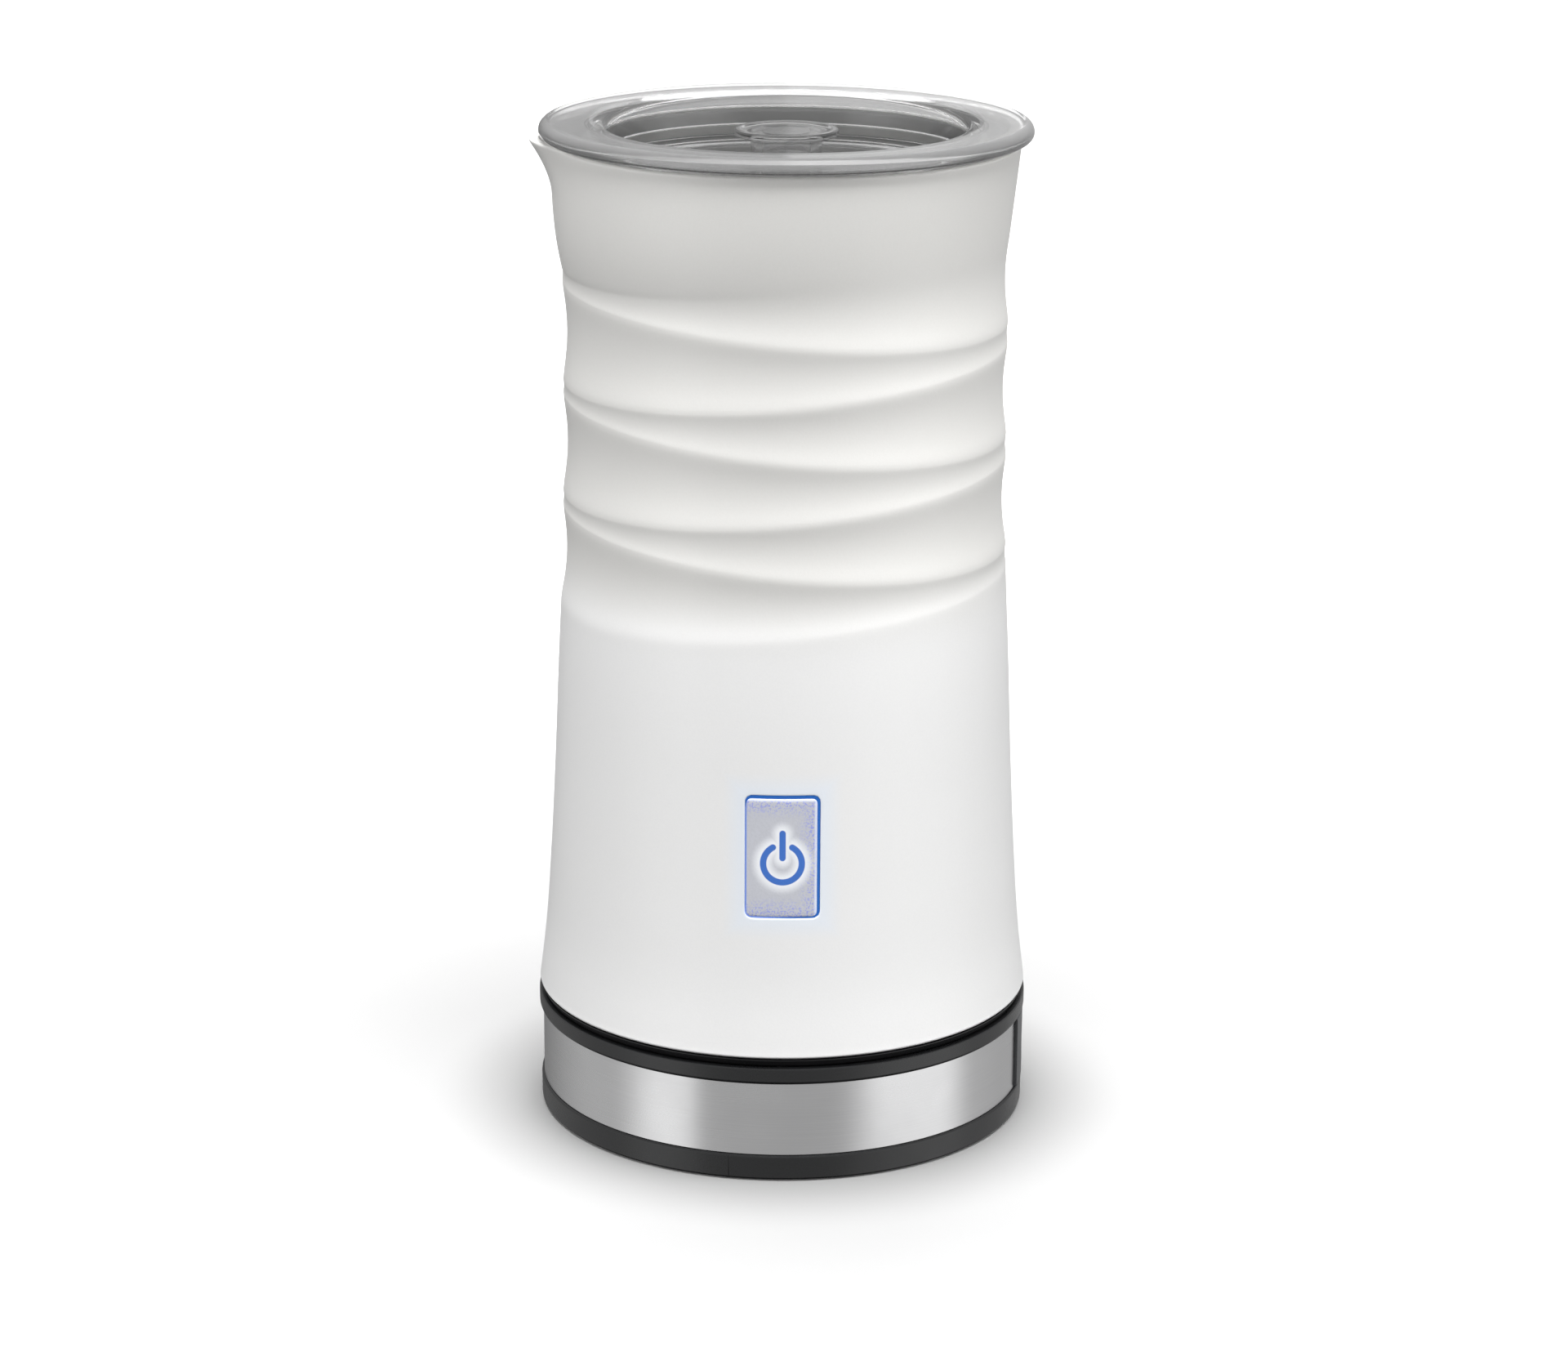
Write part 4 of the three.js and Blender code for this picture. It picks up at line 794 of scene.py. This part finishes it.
LOOP_POINTS = 160
LOOP_SHARES = np.arange(LOOP_POINTS) / LOOP_POINTS


def ring_faces(index):
    """Faces between one loop of points and the next."""
    first = range(index * LOOP_POINTS, (index + 1) * LOOP_POINTS)
    return band_between(first, [v + LOOP_POINTS for v in first])


def power_button():
    half_width, half_height = KEY_HALF
    corner = WINDOW_CORNER - 0.4
    edge = 0.3
    back = 2.4
    sunk = 0.05
    middle_half_width = 0.05
    least_corner = 0.01

    def loop(growth, inset):
        size = half_width + growth, half_height + growth
        flat = rounded_loop(*size, max(corner + growth, least_corner), LOOP_SHARES)
        return skin_loop(flat + KEY_SHIFT, inset)

    shrinks = (half_width - middle_half_width, 5, 3.5, 2.2, 1.2, edge)
    rings = [loop(-shrink, sunk) for shrink in shrinks]
    rings += [
        loop(-edge * (1 - math.sin(a)), sunk + edge * (1 - math.cos(a)))
        for a in np.linspace(0, math.pi / 2, 5)[1:]
    ]
    rings += [loop(0, back), loop(-1, back)]
    faces = [face for i in range(len(rings) - 1) for face in ring_faces(i)]
    faces.append(tuple(range(LOOP_POINTS)))
    faces.append(tuple(reversed(range((len(rings) - 1) * LOOP_POINTS, len(rings) * LOOP_POINTS))))
    made = mesh_object("power_button_fine", np.concatenate(rings), faces)
    finish_piece(made, "button", "key_plastic", "power_button")


def light_guide():
    """The glowing lip in the gap between the key and the shell."""
    line = 0.85
    sunk = 0.3
    back = 4

    def loop(growth, inset):
        size = WINDOW_WIDTH / 2 + growth, WINDOW_HEIGHT / 2 + growth
        return skin_loop(rounded_loop(*size, max(WINDOW_CORNER + growth, 0.2), LOOP_SHARES), inset)

    rings = [
        loop(-0.05, back),
        loop(-0.05, sunk + 0.1),
        loop(-0.15, sunk),
        loop(0.1 - line, sunk),
        loop(-line, sunk + 0.1),
        loop(-line, back),
    ]
    vertices = np.concatenate(rings)
    faces = [tuple(v % len(vertices) for v in face) for i in range(len(rings)) for face in ring_faces(i)]
    made = mesh_object("light_guide_fine", vertices, faces)
    finish_piece(made, "jug", "lit_plastic", "light_guide")


# ---- cup, seals and lid


def with_lip(part):
    """Pulls a turned part's rim out at the pouring lip."""
    vertices, faces = part
    x, y, height = np.asarray(vertices).T
    angle = np.arctan2(x, -y)
    return around(np.hypot(x, y) + lip_reach(angle, height), angle, height), faces


def inner_cup():
    wall = 0.9
    floor = low_of("inner_cup") + 1
    floor_radius = 37.5
    corner = 7
    neck_height = 188
    rim = radius_of("inner_cup")
    top = high_of("inner_cup")
    mouth = rim - 2.2
    neck = rim - 4.4
    rim_base = top - 0.8
    outline = [
        (0, floor), (floor_radius, floor, corner),
        (neck, neck_height, 3), (mouth, rim_base - 3.4, 3),
        (mouth + 0.3, top, 0.8), (rim, top, 0.9),
        (rim - 0.1, top - 1.4, 0.2), (mouth + wall + 0.2, top - 1.4, 0.4),
        (mouth + wall, rim_base - 3.4, 3), (neck + wall, neck_height, 3),
        (floor_radius + wall, floor - wall, corner), (0, floor - wall),
    ]
    made = mesh_object("inner_cup_fine", *with_lip(turned(outline)))
    finish_piece(made, "jug", "brushed_steel", "inner_cup", material="cup_steel", weighted=False)


def lid_cover():
    top = high_of("lid_cover") + 0.7
    low = low_of("lid_cover")
    radius = radius_of("lid_cover")
    floor = low + 2
    plug = 39
    groove = 0.9
    dish = 34
    boss_top = floor + 3.5
    flange_low = top - 3.6
    seal_low, seal_high = low_of("lid_seal") - GAP, high_of("lid_seal") + GAP
    boss = 4.5
    outline = [
        (0, low), (plug, low, 1.8),
        (plug, seal_low, 0.2), (plug - groove, seal_low, 0.2),
        (plug - groove, seal_high, 0.2), (plug, seal_high, 0.2),
        (plug + 0.4, flange_low, 0.8), (radius - 2.2, flange_low + 0.1, 1),
        (radius - 1.6, flange_low - 0.1, 0.4), (radius, flange_low + 0.8, 0.9),
        (radius, top - 1.2, 0.9), (radius - 1.2, top, 0.9),
        (dish + 5.1, top - 0.35, 0.9), (dish + 1.8, top - 1.1, 1.2),
        (dish, floor, 2.4), (boss, floor, 0.3),
        (boss, boss_top, 0.3), (0, boss_top),
    ]
    made = mesh_object("lid_cover_fine", *turned(outline))
    finish_piece(made, "lid", "clear_plastic", "lid_cover")
    made.data.materials.append(MATERIALS["hazy_plastic"])
    for face in made.data.polygons:
        if face.center.xy.length > (plug - 1) * MM and face.center.z > flange_low * MM:
            face.material_index = 1


def lid_knob():
    low, top = span("lid_knob")
    radius = radius_of("lid_knob")
    disc_low = top - 1.4
    bore, stem = 4.8, 7.1
    outline = [
        (bore, low, 0.2), (stem, low, 0.3),
        (stem, disc_low, 0.8), (radius, disc_low, 0.6),
        (radius, top, 0.6), (radius - 1.6, top - 0.05, 0.3),
        (radius - 2.2, top - 0.35, 0.3), (0, top - 0.35),
        (0, disc_low), (bore, disc_low, 0.4),
    ]
    turned_piece("lid_knob", outline, "lid", "clear_plastic", MEDIUM_SIDES)


def lid_seal():
    """A silicone ring with two soft lips."""
    low, high = span("lid_seal")
    outer = radius_of("lid_seal")
    inner = outer - 2.7
    middle = (low + high) / 2
    outline = [
        (inner, low, 0.2), (outer - 1.2, low, 0.2),
        (outer, low + 0.5, 0.3), (outer - 0.9, middle, 0.3),
        (outer, high - 0.5, 0.3), (outer - 1.2, high, 0.2),
        (inner, high, 0.2),
    ]
    turned_piece("lid_seal", outline, "lid", "silicone")


def rim_seal():
    low, high = span("rim_seal")
    outer = radius_of("rim_seal")
    inner = outer - 0.85
    outline = [(inner, low, 0.2), (outer, low, 0.2), (outer, high, 0.3), (inner, high, 0.3)]
    made = mesh_object("rim_seal_fine", *with_lip(turned(outline)))
    finish_piece(made, "jug", "silicone", "rim_seal", weighted=False)


# ---- power base and the jug's foot


def cylinder(radius, low, high, sides=SMALL_SIDES):
    return turned([(0, low), (radius, low), (radius, high), (0, high)], sides)


def block(low, high):
    """A plain block between two corners."""
    corners = list(itertools.product(*zip(low, high)))
    return corners, [(0, 1, 3, 2), (4, 6, 7, 5), (0, 4, 5, 1), (2, 3, 7, 6), (0, 2, 6, 4), (1, 5, 7, 3)]


def along_x(part, height):
    """A part made round Z, laid along X at a height."""
    return transformed(part, Matrix.Translation((0, 0, height)) @ Matrix.Rotation(math.pi / 2, 4, "Y"))


RIM_BEAD = 1.0  # height of the bead round the base's top, with a step in the jug's foot to clear it
BASE_GROWTH = 0.45  # the fine base stands a little outside the frame's
BASE_RADIUS = radius_of("base_lower_housing") + 0.2 + BASE_GROWTH
BAND_RADIUS = radius_of("steel_band") + BASE_GROWTH
BAND_LOW = low_of("steel_band") - GAP
BAND_HIGH = high_of("steel_band") + GAP
BASE_LOW = low_of("base_lower_housing") - 0.35
BACKING_RADIUS = BAND_RADIUS - 0.9
BLOCK_HALF_ANGLE = math.radians(14)
MOULD_LINE_ANGLE = math.radians(-12)
MOULD_LINE_HALF_WIDTH = 0.07
MOULD_LINE_DEPTH = 0.12
CORD_HEIGHT = middle_of("cord_gland")
GLAND_SLEEVE = 4.6
GLAND_FLANGE = radius_of("cord_gland")
GLAND_FLANGE_THICK = 1.3
GLAND_FACE = high_of("cord_gland", 0)


def node_centers(*nodes):
    return [(middle_of(node, 0), middle_of(node, 1)) for node in nodes]


FEET = [f"foot_{i}" for i in (1, 2, 3, 4)]
BASE_SCREWS = [f"base_screw_{i}" for i in (1, 2, 3)]
JUG_SCREWS = [f"jug_screw_{i}" for i in (1, 2, 3)]


def gland_seat():
    """Closed parts that cut the gland's hole and the wider seat of its flange."""
    seat = GLAND_FACE - GLAND_FLANGE_THICK - GAP
    return [
        along_x(cylinder(GLAND_SLEEVE + GAP, seat - 12, GLAND_FACE + 1), CORD_HEIGHT),
        along_x(cylinder(GLAND_FLANGE + GAP, seat, GLAND_FACE + 2), CORD_HEIGHT),
    ]


def base_lower_housing():
    outer = BASE_RADIUS - 0.2
    floor = BASE_LOW + 2.4
    pan = [
        (0, BASE_LOW), (outer - 0.5, BASE_LOW, 0.3),
        (outer - 0.05, BASE_LOW + 0.3, 0.3), (outer, BAND_LOW, 0.5),
        (BACKING_RADIUS, BAND_LOW, 0.2), (BACKING_RADIUS, BAND_HIGH - GAP, 0.2),
        (BACKING_RADIUS - 2, BAND_HIGH - GAP, 0.2),
        (BACKING_RADIUS - 2, floor, 0.4), (0, floor),
    ]
    made = mesh_object("base_lower_housing_fine", *turned(pan))
    feet = [moved(cylinder(5.3, -1, BASE_LOW + 1.2), x, y) for x, y in node_centers(*FEET)]
    screws = [moved(cylinder(3.1, -1, BASE_LOW + 1.3), x, y) for x, y in node_centers(*BASE_SCREWS)]
    line = block(
        (-MOULD_LINE_HALF_WIDTH, -outer - 1, BASE_LOW),
        (MOULD_LINE_HALF_WIDTH, MOULD_LINE_DEPTH - outer, BAND_LOW),
    )
    line = transformed(line, Matrix.Rotation(MOULD_LINE_ANGLE, 4, "Z"))
    cut(made, [*gland_seat(), *feet, *screws, line])
    finish_piece(made, "base", "black_plastic", "base_lower_housing")


def cord_block():
    """The dark block that closes the band's opening and holds the cord gland."""
    outer = BASE_RADIUS - 0.1
    outline = [
        (BACKING_RADIUS - 1, BAND_LOW + 0.1), (outer, BAND_LOW + 0.1, 0.3),
        (outer, BAND_HIGH - GAP, 0.5), (BACKING_RADIUS - 1, BAND_HIGH - GAP),
    ]
    start = math.pi / 2 - BLOCK_HALF_ANGLE
    made = mesh_object("cord_block", *turned(outline, 32, start, 2 * BLOCK_HALF_ANGLE))
    cut(made, gland_seat())
    finish_piece(made, "base", "grey_plastic")


def cord_gland():
    low = low_of("cord_gland", 0)
    bore = 3.4
    seat = GLAND_FACE - GLAND_FLANGE_THICK
    outline = [
        (bore, low, 0.2), (GLAND_SLEEVE, low, 0.2),
        (GLAND_SLEEVE, seat), (GLAND_FLANGE, seat, 0.2),
        (GLAND_FLANGE, GLAND_FACE, 0.8), (bore + 0.6, GLAND_FACE, 0.3),
        (bore, GLAND_FACE - 0.6, 0.3),
    ]
    made = mesh_object("cord_gland_fine", *along_x(turned(outline, LESSER_SIDES), CORD_HEIGHT))
    finish_piece(made, "base", "rubber", "cord_gland")


def steel_band():
    opening = BLOCK_HALF_ANGLE + math.radians(0.7)
    outline = [
        (BAND_RADIUS - 0.6, BAND_LOW + 0.05), (BAND_RADIUS, BAND_LOW + 0.05, 0.15),
        (BAND_RADIUS, BAND_HIGH - 0.05, 0.15),
        (BAND_RADIUS - 0.6, BAND_HIGH - 0.05),
    ]
    start = math.pi / 2 + opening
    turned_piece("steel_band", outline, "base", "brushed_steel", FINE_SIDES * 3 // 2, start, TURN - 2 * opening)


def base_top_cover():
    outer = radius_of("base_top_cover") + BASE_GROWTH
    top = high_of("base_top_cover")
    bore = radius_of("jug_connector") - 6.3
    groove = 26
    skirt_inner, skirt_outer = 44.1, 46.1
    skirt_low = BAND_HIGH - 3
    outline = [
        (bore, BAND_HIGH, 0.2), (skirt_inner, BAND_HIGH),
        (skirt_inner, skirt_low, 0.2), (skirt_outer, skirt_low, 0.2),
        (skirt_outer, BAND_HIGH), (outer - 0.3, BAND_HIGH, 0.3),
        (outer, BAND_HIGH + 0.5, 0.4), (outer, top + RIM_BEAD, 0.35),
        (outer - 2.4, top + RIM_BEAD, 0.4), (outer - 2.6, top, 0.2),
        (groove + 2.2, top, 0.5), (groove + 1, top - 0.8, 0.5),
        (groove - 1, top - 0.8, 0.5), (groove - 2.2, top, 0.5),
        (bore, top, 0.4),
    ]
    turned_piece("base_top_cover", outline, "base", "black_plastic")


def jug_bottom_cover():
    low, top = low_of("jug_bottom_cover"), SHELL_LOW - GAP
    outer = radius_of("jug_bottom_cover")
    bore = 14.8
    outline = [
        (bore, low, 0.3), (outer - 3.5, low, 0.3),
        (outer - 3.4, low + RIM_BEAD, 0.2), (outer - 0.7, low + RIM_BEAD, 0.2),
        (outer, top + 0.1, 0.25), (bore + 2, top + 0.1, 0.4),
        (bore + 2, high_of("jug_bottom_cover"), 0.2),
        (bore, high_of("jug_bottom_cover"), 0.2),
    ]
    made = mesh_object("jug_bottom_cover_fine", *turned(outline))
    cut(made, [moved(cylinder(2.7, low - 1, low + 1.5), x, y) for x, y in node_centers(*JUG_SCREWS)])
    finish_piece(made, "jug", "black_plastic", "jug_bottom_cover")


def feet():
    for node in FEET:
        radius, high = radius_of(node), high_of(node)
        outline = [
            (0, 0.2),
            (1.6, 0.2, 0.2),
            (2.0, 0, 0.2),
            (2.8, 0, 0.2),
            (3.2, 0.25, 0.2),
            (3.8, 0, 0.2),
            (radius - 0.2, 0, 0.4),
            (radius, high, 0.1),
            (0, high),
        ]
        part = moved(turned(outline, SMALL_SIDES), middle_of(node, 0), middle_of(node, 1))
        made = mesh_object(f"{node}_fine", *part)
        finish_piece(made, "base", "rubber", node)


def screws(nodes, body):
    """Cross-head screws, heads down."""
    for node in nodes:
        low, high = span(node)
        head = radius_of(node)
        under_head = low + 1
        shank = head * 0.5
        pitch, thread_depth = 0.5, 0.25
        outline = [
            (0, low),
            (head, low, 0.5),
            (head, under_head, 0.1),
            (shank, under_head),
            *[
                (shank - i % 2 * thread_depth, under_head + pitch * i)
                for i in range(1, int((high - under_head) / pitch) - 1)
            ],
            (0, high),
        ]
        place = middle_of(node, 0), middle_of(node, 1)
        made = mesh_object(f"{node}_fine", *moved(turned(outline, 48), *place))
        slot_reach, slot_width = head * 0.6, head * 0.28
        slot_depth, clear_of_head = 0.55, 0.5
        for along, across in ((slot_reach, slot_width / 2), (slot_width / 2, slot_reach)):
            bar = block((-along, -across, low - clear_of_head), (along, across, low + slot_depth))
            cut(made, [moved(bar, *place)])
        finish_piece(made, body, "bare_steel", node)


# ---- connector


def base_connector():
    low, top = span("base_connector")
    flange = radius_of("base_connector")
    tower = flange - 5.5
    flange_top = BAND_HIGH - GAP
    flange_low = flange_top - 2.4
    slot_floor = low + 4
    slot_outer, slot_inner, bore = 8.2, 5.6, 2.6
    outline = [
        (0, low), (tower, low, 0.3),
        (tower, flange_low), (flange, flange_low, 0.3),
        (flange, flange_top, 0.3), (tower, flange_top, 0.3),
        (tower, top, 0.9), (slot_outer, top, 0.5),
        (slot_outer, slot_floor, 0.2), (slot_inner, slot_floor, 0.2),
        (slot_inner, top, 0.5), (bore, top, 0.5),
        (bore, slot_floor, 0.2), (0, slot_floor),
    ]
    turned_piece("base_connector", outline, "base", "black_plastic", MEDIUM_SIDES)


def jug_connector():
    low, top = span("jug_connector")
    flange = radius_of("jug_connector")
    roof = top - 3
    bore = 1.8
    slot_inner, slot_outer = 6.2, 7.6
    slot_top = roof + 1.5
    skirt_inner, skirt_outer = 12, 14.5
    outline = [
        (bore, roof, 0.2), (slot_inner, roof, 0.2),
        (slot_inner, slot_top, 0.2), (slot_outer, slot_top, 0.2),
        (slot_outer, roof, 0.2), (skirt_inner, roof, 0.3),
        (skirt_inner, low, 0.4), (skirt_outer, low, 0.4),
        (skirt_outer, roof, 0.3), (flange, roof, 0.3),
        (flange, top, 0.3), (bore, top, 0.2),
    ]
    turned_piece("jug_connector", outline, "jug_socket", "black_plastic", MEDIUM_SIDES)


def contacts():
    for node, body, inner, outer in (
        ("base_ring_contact", "base", 5.9, 7.9),
        ("jug_ring_contact", "jug_socket", 6.5, 7.3),
        ("base_center_contact", "base", 0, 2.3),
        ("jug_center_pin", "jug_socket", 0, 1.5),
    ):
        low, high = span(node)
        outline = [(inner, low, 0.3), (outer, low, 0.6), (outer, high, 0.3), (inner, high, 0.3)]
        if inner == 0:
            outline = [(0, low), (outer, low, 0.6), (outer, high, 0.5), (0, high)]
        made = mesh_object(f"{node}_fine", *turned(outline, LESSER_SIDES))
        finish_piece(made, body, "brass", node)


# ---- whisk


def tube(points, radius, sides=10):
    """A round tube along a list of points, closed at both ends."""
    points = np.asarray(points, float)
    count = len(points)
    ahead = np.gradient(points, axis=0)
    ahead /= np.linalg.norm(ahead, axis=1)[:, None]
    across = np.cross(ahead, [0, 0, 1])
    across /= np.linalg.norm(across, axis=1)[:, None]
    upward = np.cross(across, ahead)
    angles = TURN * np.arange(sides) / sides
    cosines, sines = np.cos(angles)[None, :, None], np.sin(angles)[None, :, None]
    circle = cosines * across[:, None] + sines * upward[:, None]
    vertices = (points[:, None] + radius * circle).reshape(-1, 3)
    faces = [
        (i * sides + j, i * sides + (j + 1) % sides, (i + 1) * sides + (j + 1) % sides, (i + 1) * sides + j)
        for i in range(count - 1)
        for j in range(sides)
    ]
    faces.append(tuple(reversed(range(sides))))
    faces.append(tuple(range((count - 1) * sides, count * sides)))
    return vertices, faces


def whisk_coil():
    """A wire spring wound round the whisk's edge."""
    low, high = span("whisk_coil")
    wire = 0.45
    winding_radius = (high - low) / 2 - wire
    ring = radius_of("whisk_coil") - (high - low) / 2
    turns, steps_per_turn = 34, 16
    gap = math.radians(12)
    share = np.linspace(0, 1, turns * steps_per_turn)
    angle = gap / 2 + (TURN - gap) * share
    winding = TURN * turns * share
    radius = ring + winding_radius * np.cos(winding)
    height = (low + high) / 2 + winding_radius * np.sin(winding)
    made = mesh_object("whisk_coil_fine", *tube(around(radius, angle, height), wire))
    finish_piece(made, "whisk", "bare_steel", "whisk_coil", weighted=False)


def whisk_hub():
    low, top = span("whisk_hub")
    disc_top = low + 4.2
    disc, neck, bore = 13, 5, 3.5
    bore_top = top - 2
    outline = [
        (0, bore_top), (bore, bore_top),
        (bore, low, 0.2), (disc, low, 1),
        (disc, disc_top, 1), (neck, disc_top, 2.5),
        (neck, top, 2), (0, top),
    ]
    arm_inner, arm_outer = 10, radius_of("whisk_coil") - 1
    arm_half_width, arm_count = 1.2, 4
    arm = block((arm_inner, -arm_half_width, disc_top - 3), (arm_outer, arm_half_width, disc_top - 0.4))
    turns = [TURN * (i + 0.5) / arm_count for i in range(arm_count)]
    arms = [transformed(arm, Matrix.Rotation(turn, 3, "Z")) for turn in turns]
    made = mesh_object("whisk_hub_fine", *join_parts(turned(outline, LESSER_SIDES), *arms))
    finish_piece(made, "whisk", "black_plastic", "whisk_hub")


# ---- CAD nodes that stay as they are


def dress_remaining_nodes():
    """The inner pieces keep their CAD shape and get the material of their record slot."""
    slots = {row["node"]: row["material_slot"] for row in frame["record"]["subparts"]}
    for name, node in frame["nodes"].items():
        if node.hide_render:
            continue
        node.data.materials.clear()
        node.data.materials.append(MATERIALS[slots[name]])
        bevel = node.modifiers.new("soft_edges", "BEVEL")
        bevel.width = 0.15 * MM
        bevel.segments = 2
        bevel.limit_method = "ANGLE"


# ---- floor, light and camera


NEAR_GLOW = 0.35
FAR_GLOW = 0.7
ROOM_LIGHT = 0.62
PANEL_LIGHT = 1.2
CEILING_LIGHT = 0.6
SIDE_DARK = 0.35


def pale_floor():
    """A wide floor that glows more with distance, so that its lower glow near the base is painted shade round
    it, and throws no light on the frother.
    """
    material = surface(
        "pale_floor", (0.3, 0.3, 0.3), 0.7, color_change=0.01, grain_depth=0.01, patch_scale=2
    )
    tree, shader, _ = shader_of(material)
    shader.inputs["Emission Color"].default_value = opaque((1, 1, 1))
    place = add(tree, "ShaderNodeTexCoord").outputs["Object"]
    away = add(tree, "ShaderNodeVectorMath", {0: place}, operation="LENGTH").outputs["Value"]
    # Little glow near the base: painted shade round it, beside the real shadows.
    near = ramp(tree, away, 0.9 * BASE_RADIUS * MM, 1.5 * BASE_RADIUS * MM, 0, NEAR_GLOW)
    far = ramp(tree, away, 1.2 * BASE_RADIUS * MM, 8 * BASE_RADIUS * MM, 0, FAR_GLOW)
    tree.links.new(plus(tree, near, far), shader.inputs["Emission Strength"])
    half = 6
    corners = [(-half, -half, 0), (half, -half, 0), (half, half, 0), (-half, half, 0)]
    mesh = bpy.data.meshes.new("floor")
    mesh.from_pydata(corners, [], [(0, 1, 2, 3)])
    mesh.materials.append(material)
    floor = bpy.data.objects.new("floor", mesh)
    floor.visible_diffuse = False
    floor.visible_glossy = False
    bpy.context.scene.collection.objects.link(floor)


def studio_world():
    """A room seen in reflections and behind the frother: bright panels left and right, dark far down."""
    world = bpy.data.worlds.new("studio")
    world.use_nodes = True
    tree = world.node_tree
    toward = add(tree, "ShaderNodeSeparateXYZ", {0: add(tree, "ShaderNodeTexCoord").outputs["Generated"]})
    front = times(tree, toward.outputs["Y"], -1.0)
    turn = math_node(tree, "ARCTAN2", toward.outputs["X"], front)
    height = toward.outputs["Z"]

    def panel(*edges):
        rise_from, rise_to, fall_from, fall_to = (math.radians(edge) for edge in edges)
        return times(tree, ramp(tree, turn, rise_from, rise_to), ramp(tree, turn, fall_from, fall_to, 1, 0))

    panels = plus(tree, panel(-88, -60, -46, -37), panel(26, 50, 84, 104))
    left_side = ramp(tree, turn, math.radians(-170), math.radians(-95), SIDE_DARK, 1)
    right_side = ramp(tree, turn, math.radians(105), math.radians(140), 1, 0.8)
    side_light = times(tree, left_side, right_side)
    walls = plus(tree, side_light, times(tree, panels, PANEL_LIGHT))
    low_edge = ramp(tree, height, -0.72, -0.5, 0.08, 1)
    below = times(tree, times(tree, walls, ROOM_LIGHT), low_edge)
    above = ramp(tree, height, 0.0, 0.6, 0, 1)
    strength = plus(tree, below, times(tree, above, minus(tree, CEILING_LIGHT, below)))
    background = tree.nodes["Background"]
    background.inputs["Color"].default_value = opaque((1, 1, 1))
    tree.links.new(strength, background.inputs["Strength"])
    world.cycles_visibility.diffuse = False
    bpy.context.scene.world = world


def area_light(name, place, width, height, power):
    """A soft light aimed at the frother's middle. It lights surfaces but isn't mirrored in them."""
    data = bpy.data.lights.new(name, "AREA")
    data.shape = "RECTANGLE"
    data.size, data.size_y = width, height
    data.energy = power
    light = bpy.data.objects.new(name, data)
    light.location = place
    aim = Vector((0, 0, SHELL_TOP / 2 * MM))
    light.rotation_euler = (aim - Vector(place)).to_track_quat("-Z", "Y").to_euler()
    light.visible_camera = False
    light.visible_glossy = False
    light.visible_transmission = False
    bpy.context.scene.collection.objects.link(light)


# Name, place, width, height and power in watts
STUDIO_LIGHTS = [
    ("overhead", (0.12, -0.45, 1.35), 1.1, 0.9, 29),
    ("overhead_behind", (-0.12, 0.6, 1.35), 1.1, 0.9, 18),
    ("fill_right", (1.2, -1.6, 0.9), 1.4, 1.0, 10),
    ("fill_left", (-1.3, -1.4, 0.9), 1.4, 1.0, 11),
    ("side_right", (1.6, -0.45, 0.7), 1.2, 1.0, 16),
    ("side_left", (-1.6, -0.45, 0.7), 1.2, 1.0, 14),
    ("fill_behind", (0, 2.1, 0.9), 1.8, 1.0, 12),
]


CAMERA_DISTANCE = 0.8475
CAMERA_SIDE = 0.0001
CAMERA_HEIGHT = 0.3395
CAMERA_PITCH = math.radians(16.353)
CAMERA_ROLL = math.radians(0.31)
CAMERA_LENS = 98.98


def camera():
    data = bpy.data.cameras.new("camera")
    data.lens = CAMERA_LENS
    data.sensor_width = 36
    data.clip_end = 50
    made = bpy.data.objects.new("camera", data)
    looking = Matrix.Rotation(math.pi / 2 - CAMERA_PITCH, 4, "X") @ Matrix.Rotation(CAMERA_ROLL, 4, "Z")
    made.matrix_world = Matrix.Translation((CAMERA_SIDE, -CAMERA_DISTANCE, CAMERA_HEIGHT)) @ looking
    bpy.context.scene.collection.objects.link(made)
    bpy.context.scene.camera = made


# ---- the scene

camera()
outer_shell()
power_button()
light_guide()
inner_cup()
rim_seal()
lid_cover()
lid_knob()
lid_seal()
steel_band()
base_lower_housing()
cord_block()
cord_gland()
base_top_cover()
jug_bottom_cover()
feet()
screws(BASE_SCREWS, "base")
screws(JUG_SCREWS, "jug")
base_connector()
jug_connector()
contacts()
whisk_coil()
whisk_hub()
dress_remaining_nodes()
pale_floor()
studio_world()
for light_row in STUDIO_LIGHTS:
    area_light(*light_row)

bpy.context.scene.view_settings.view_transform = "Standard"
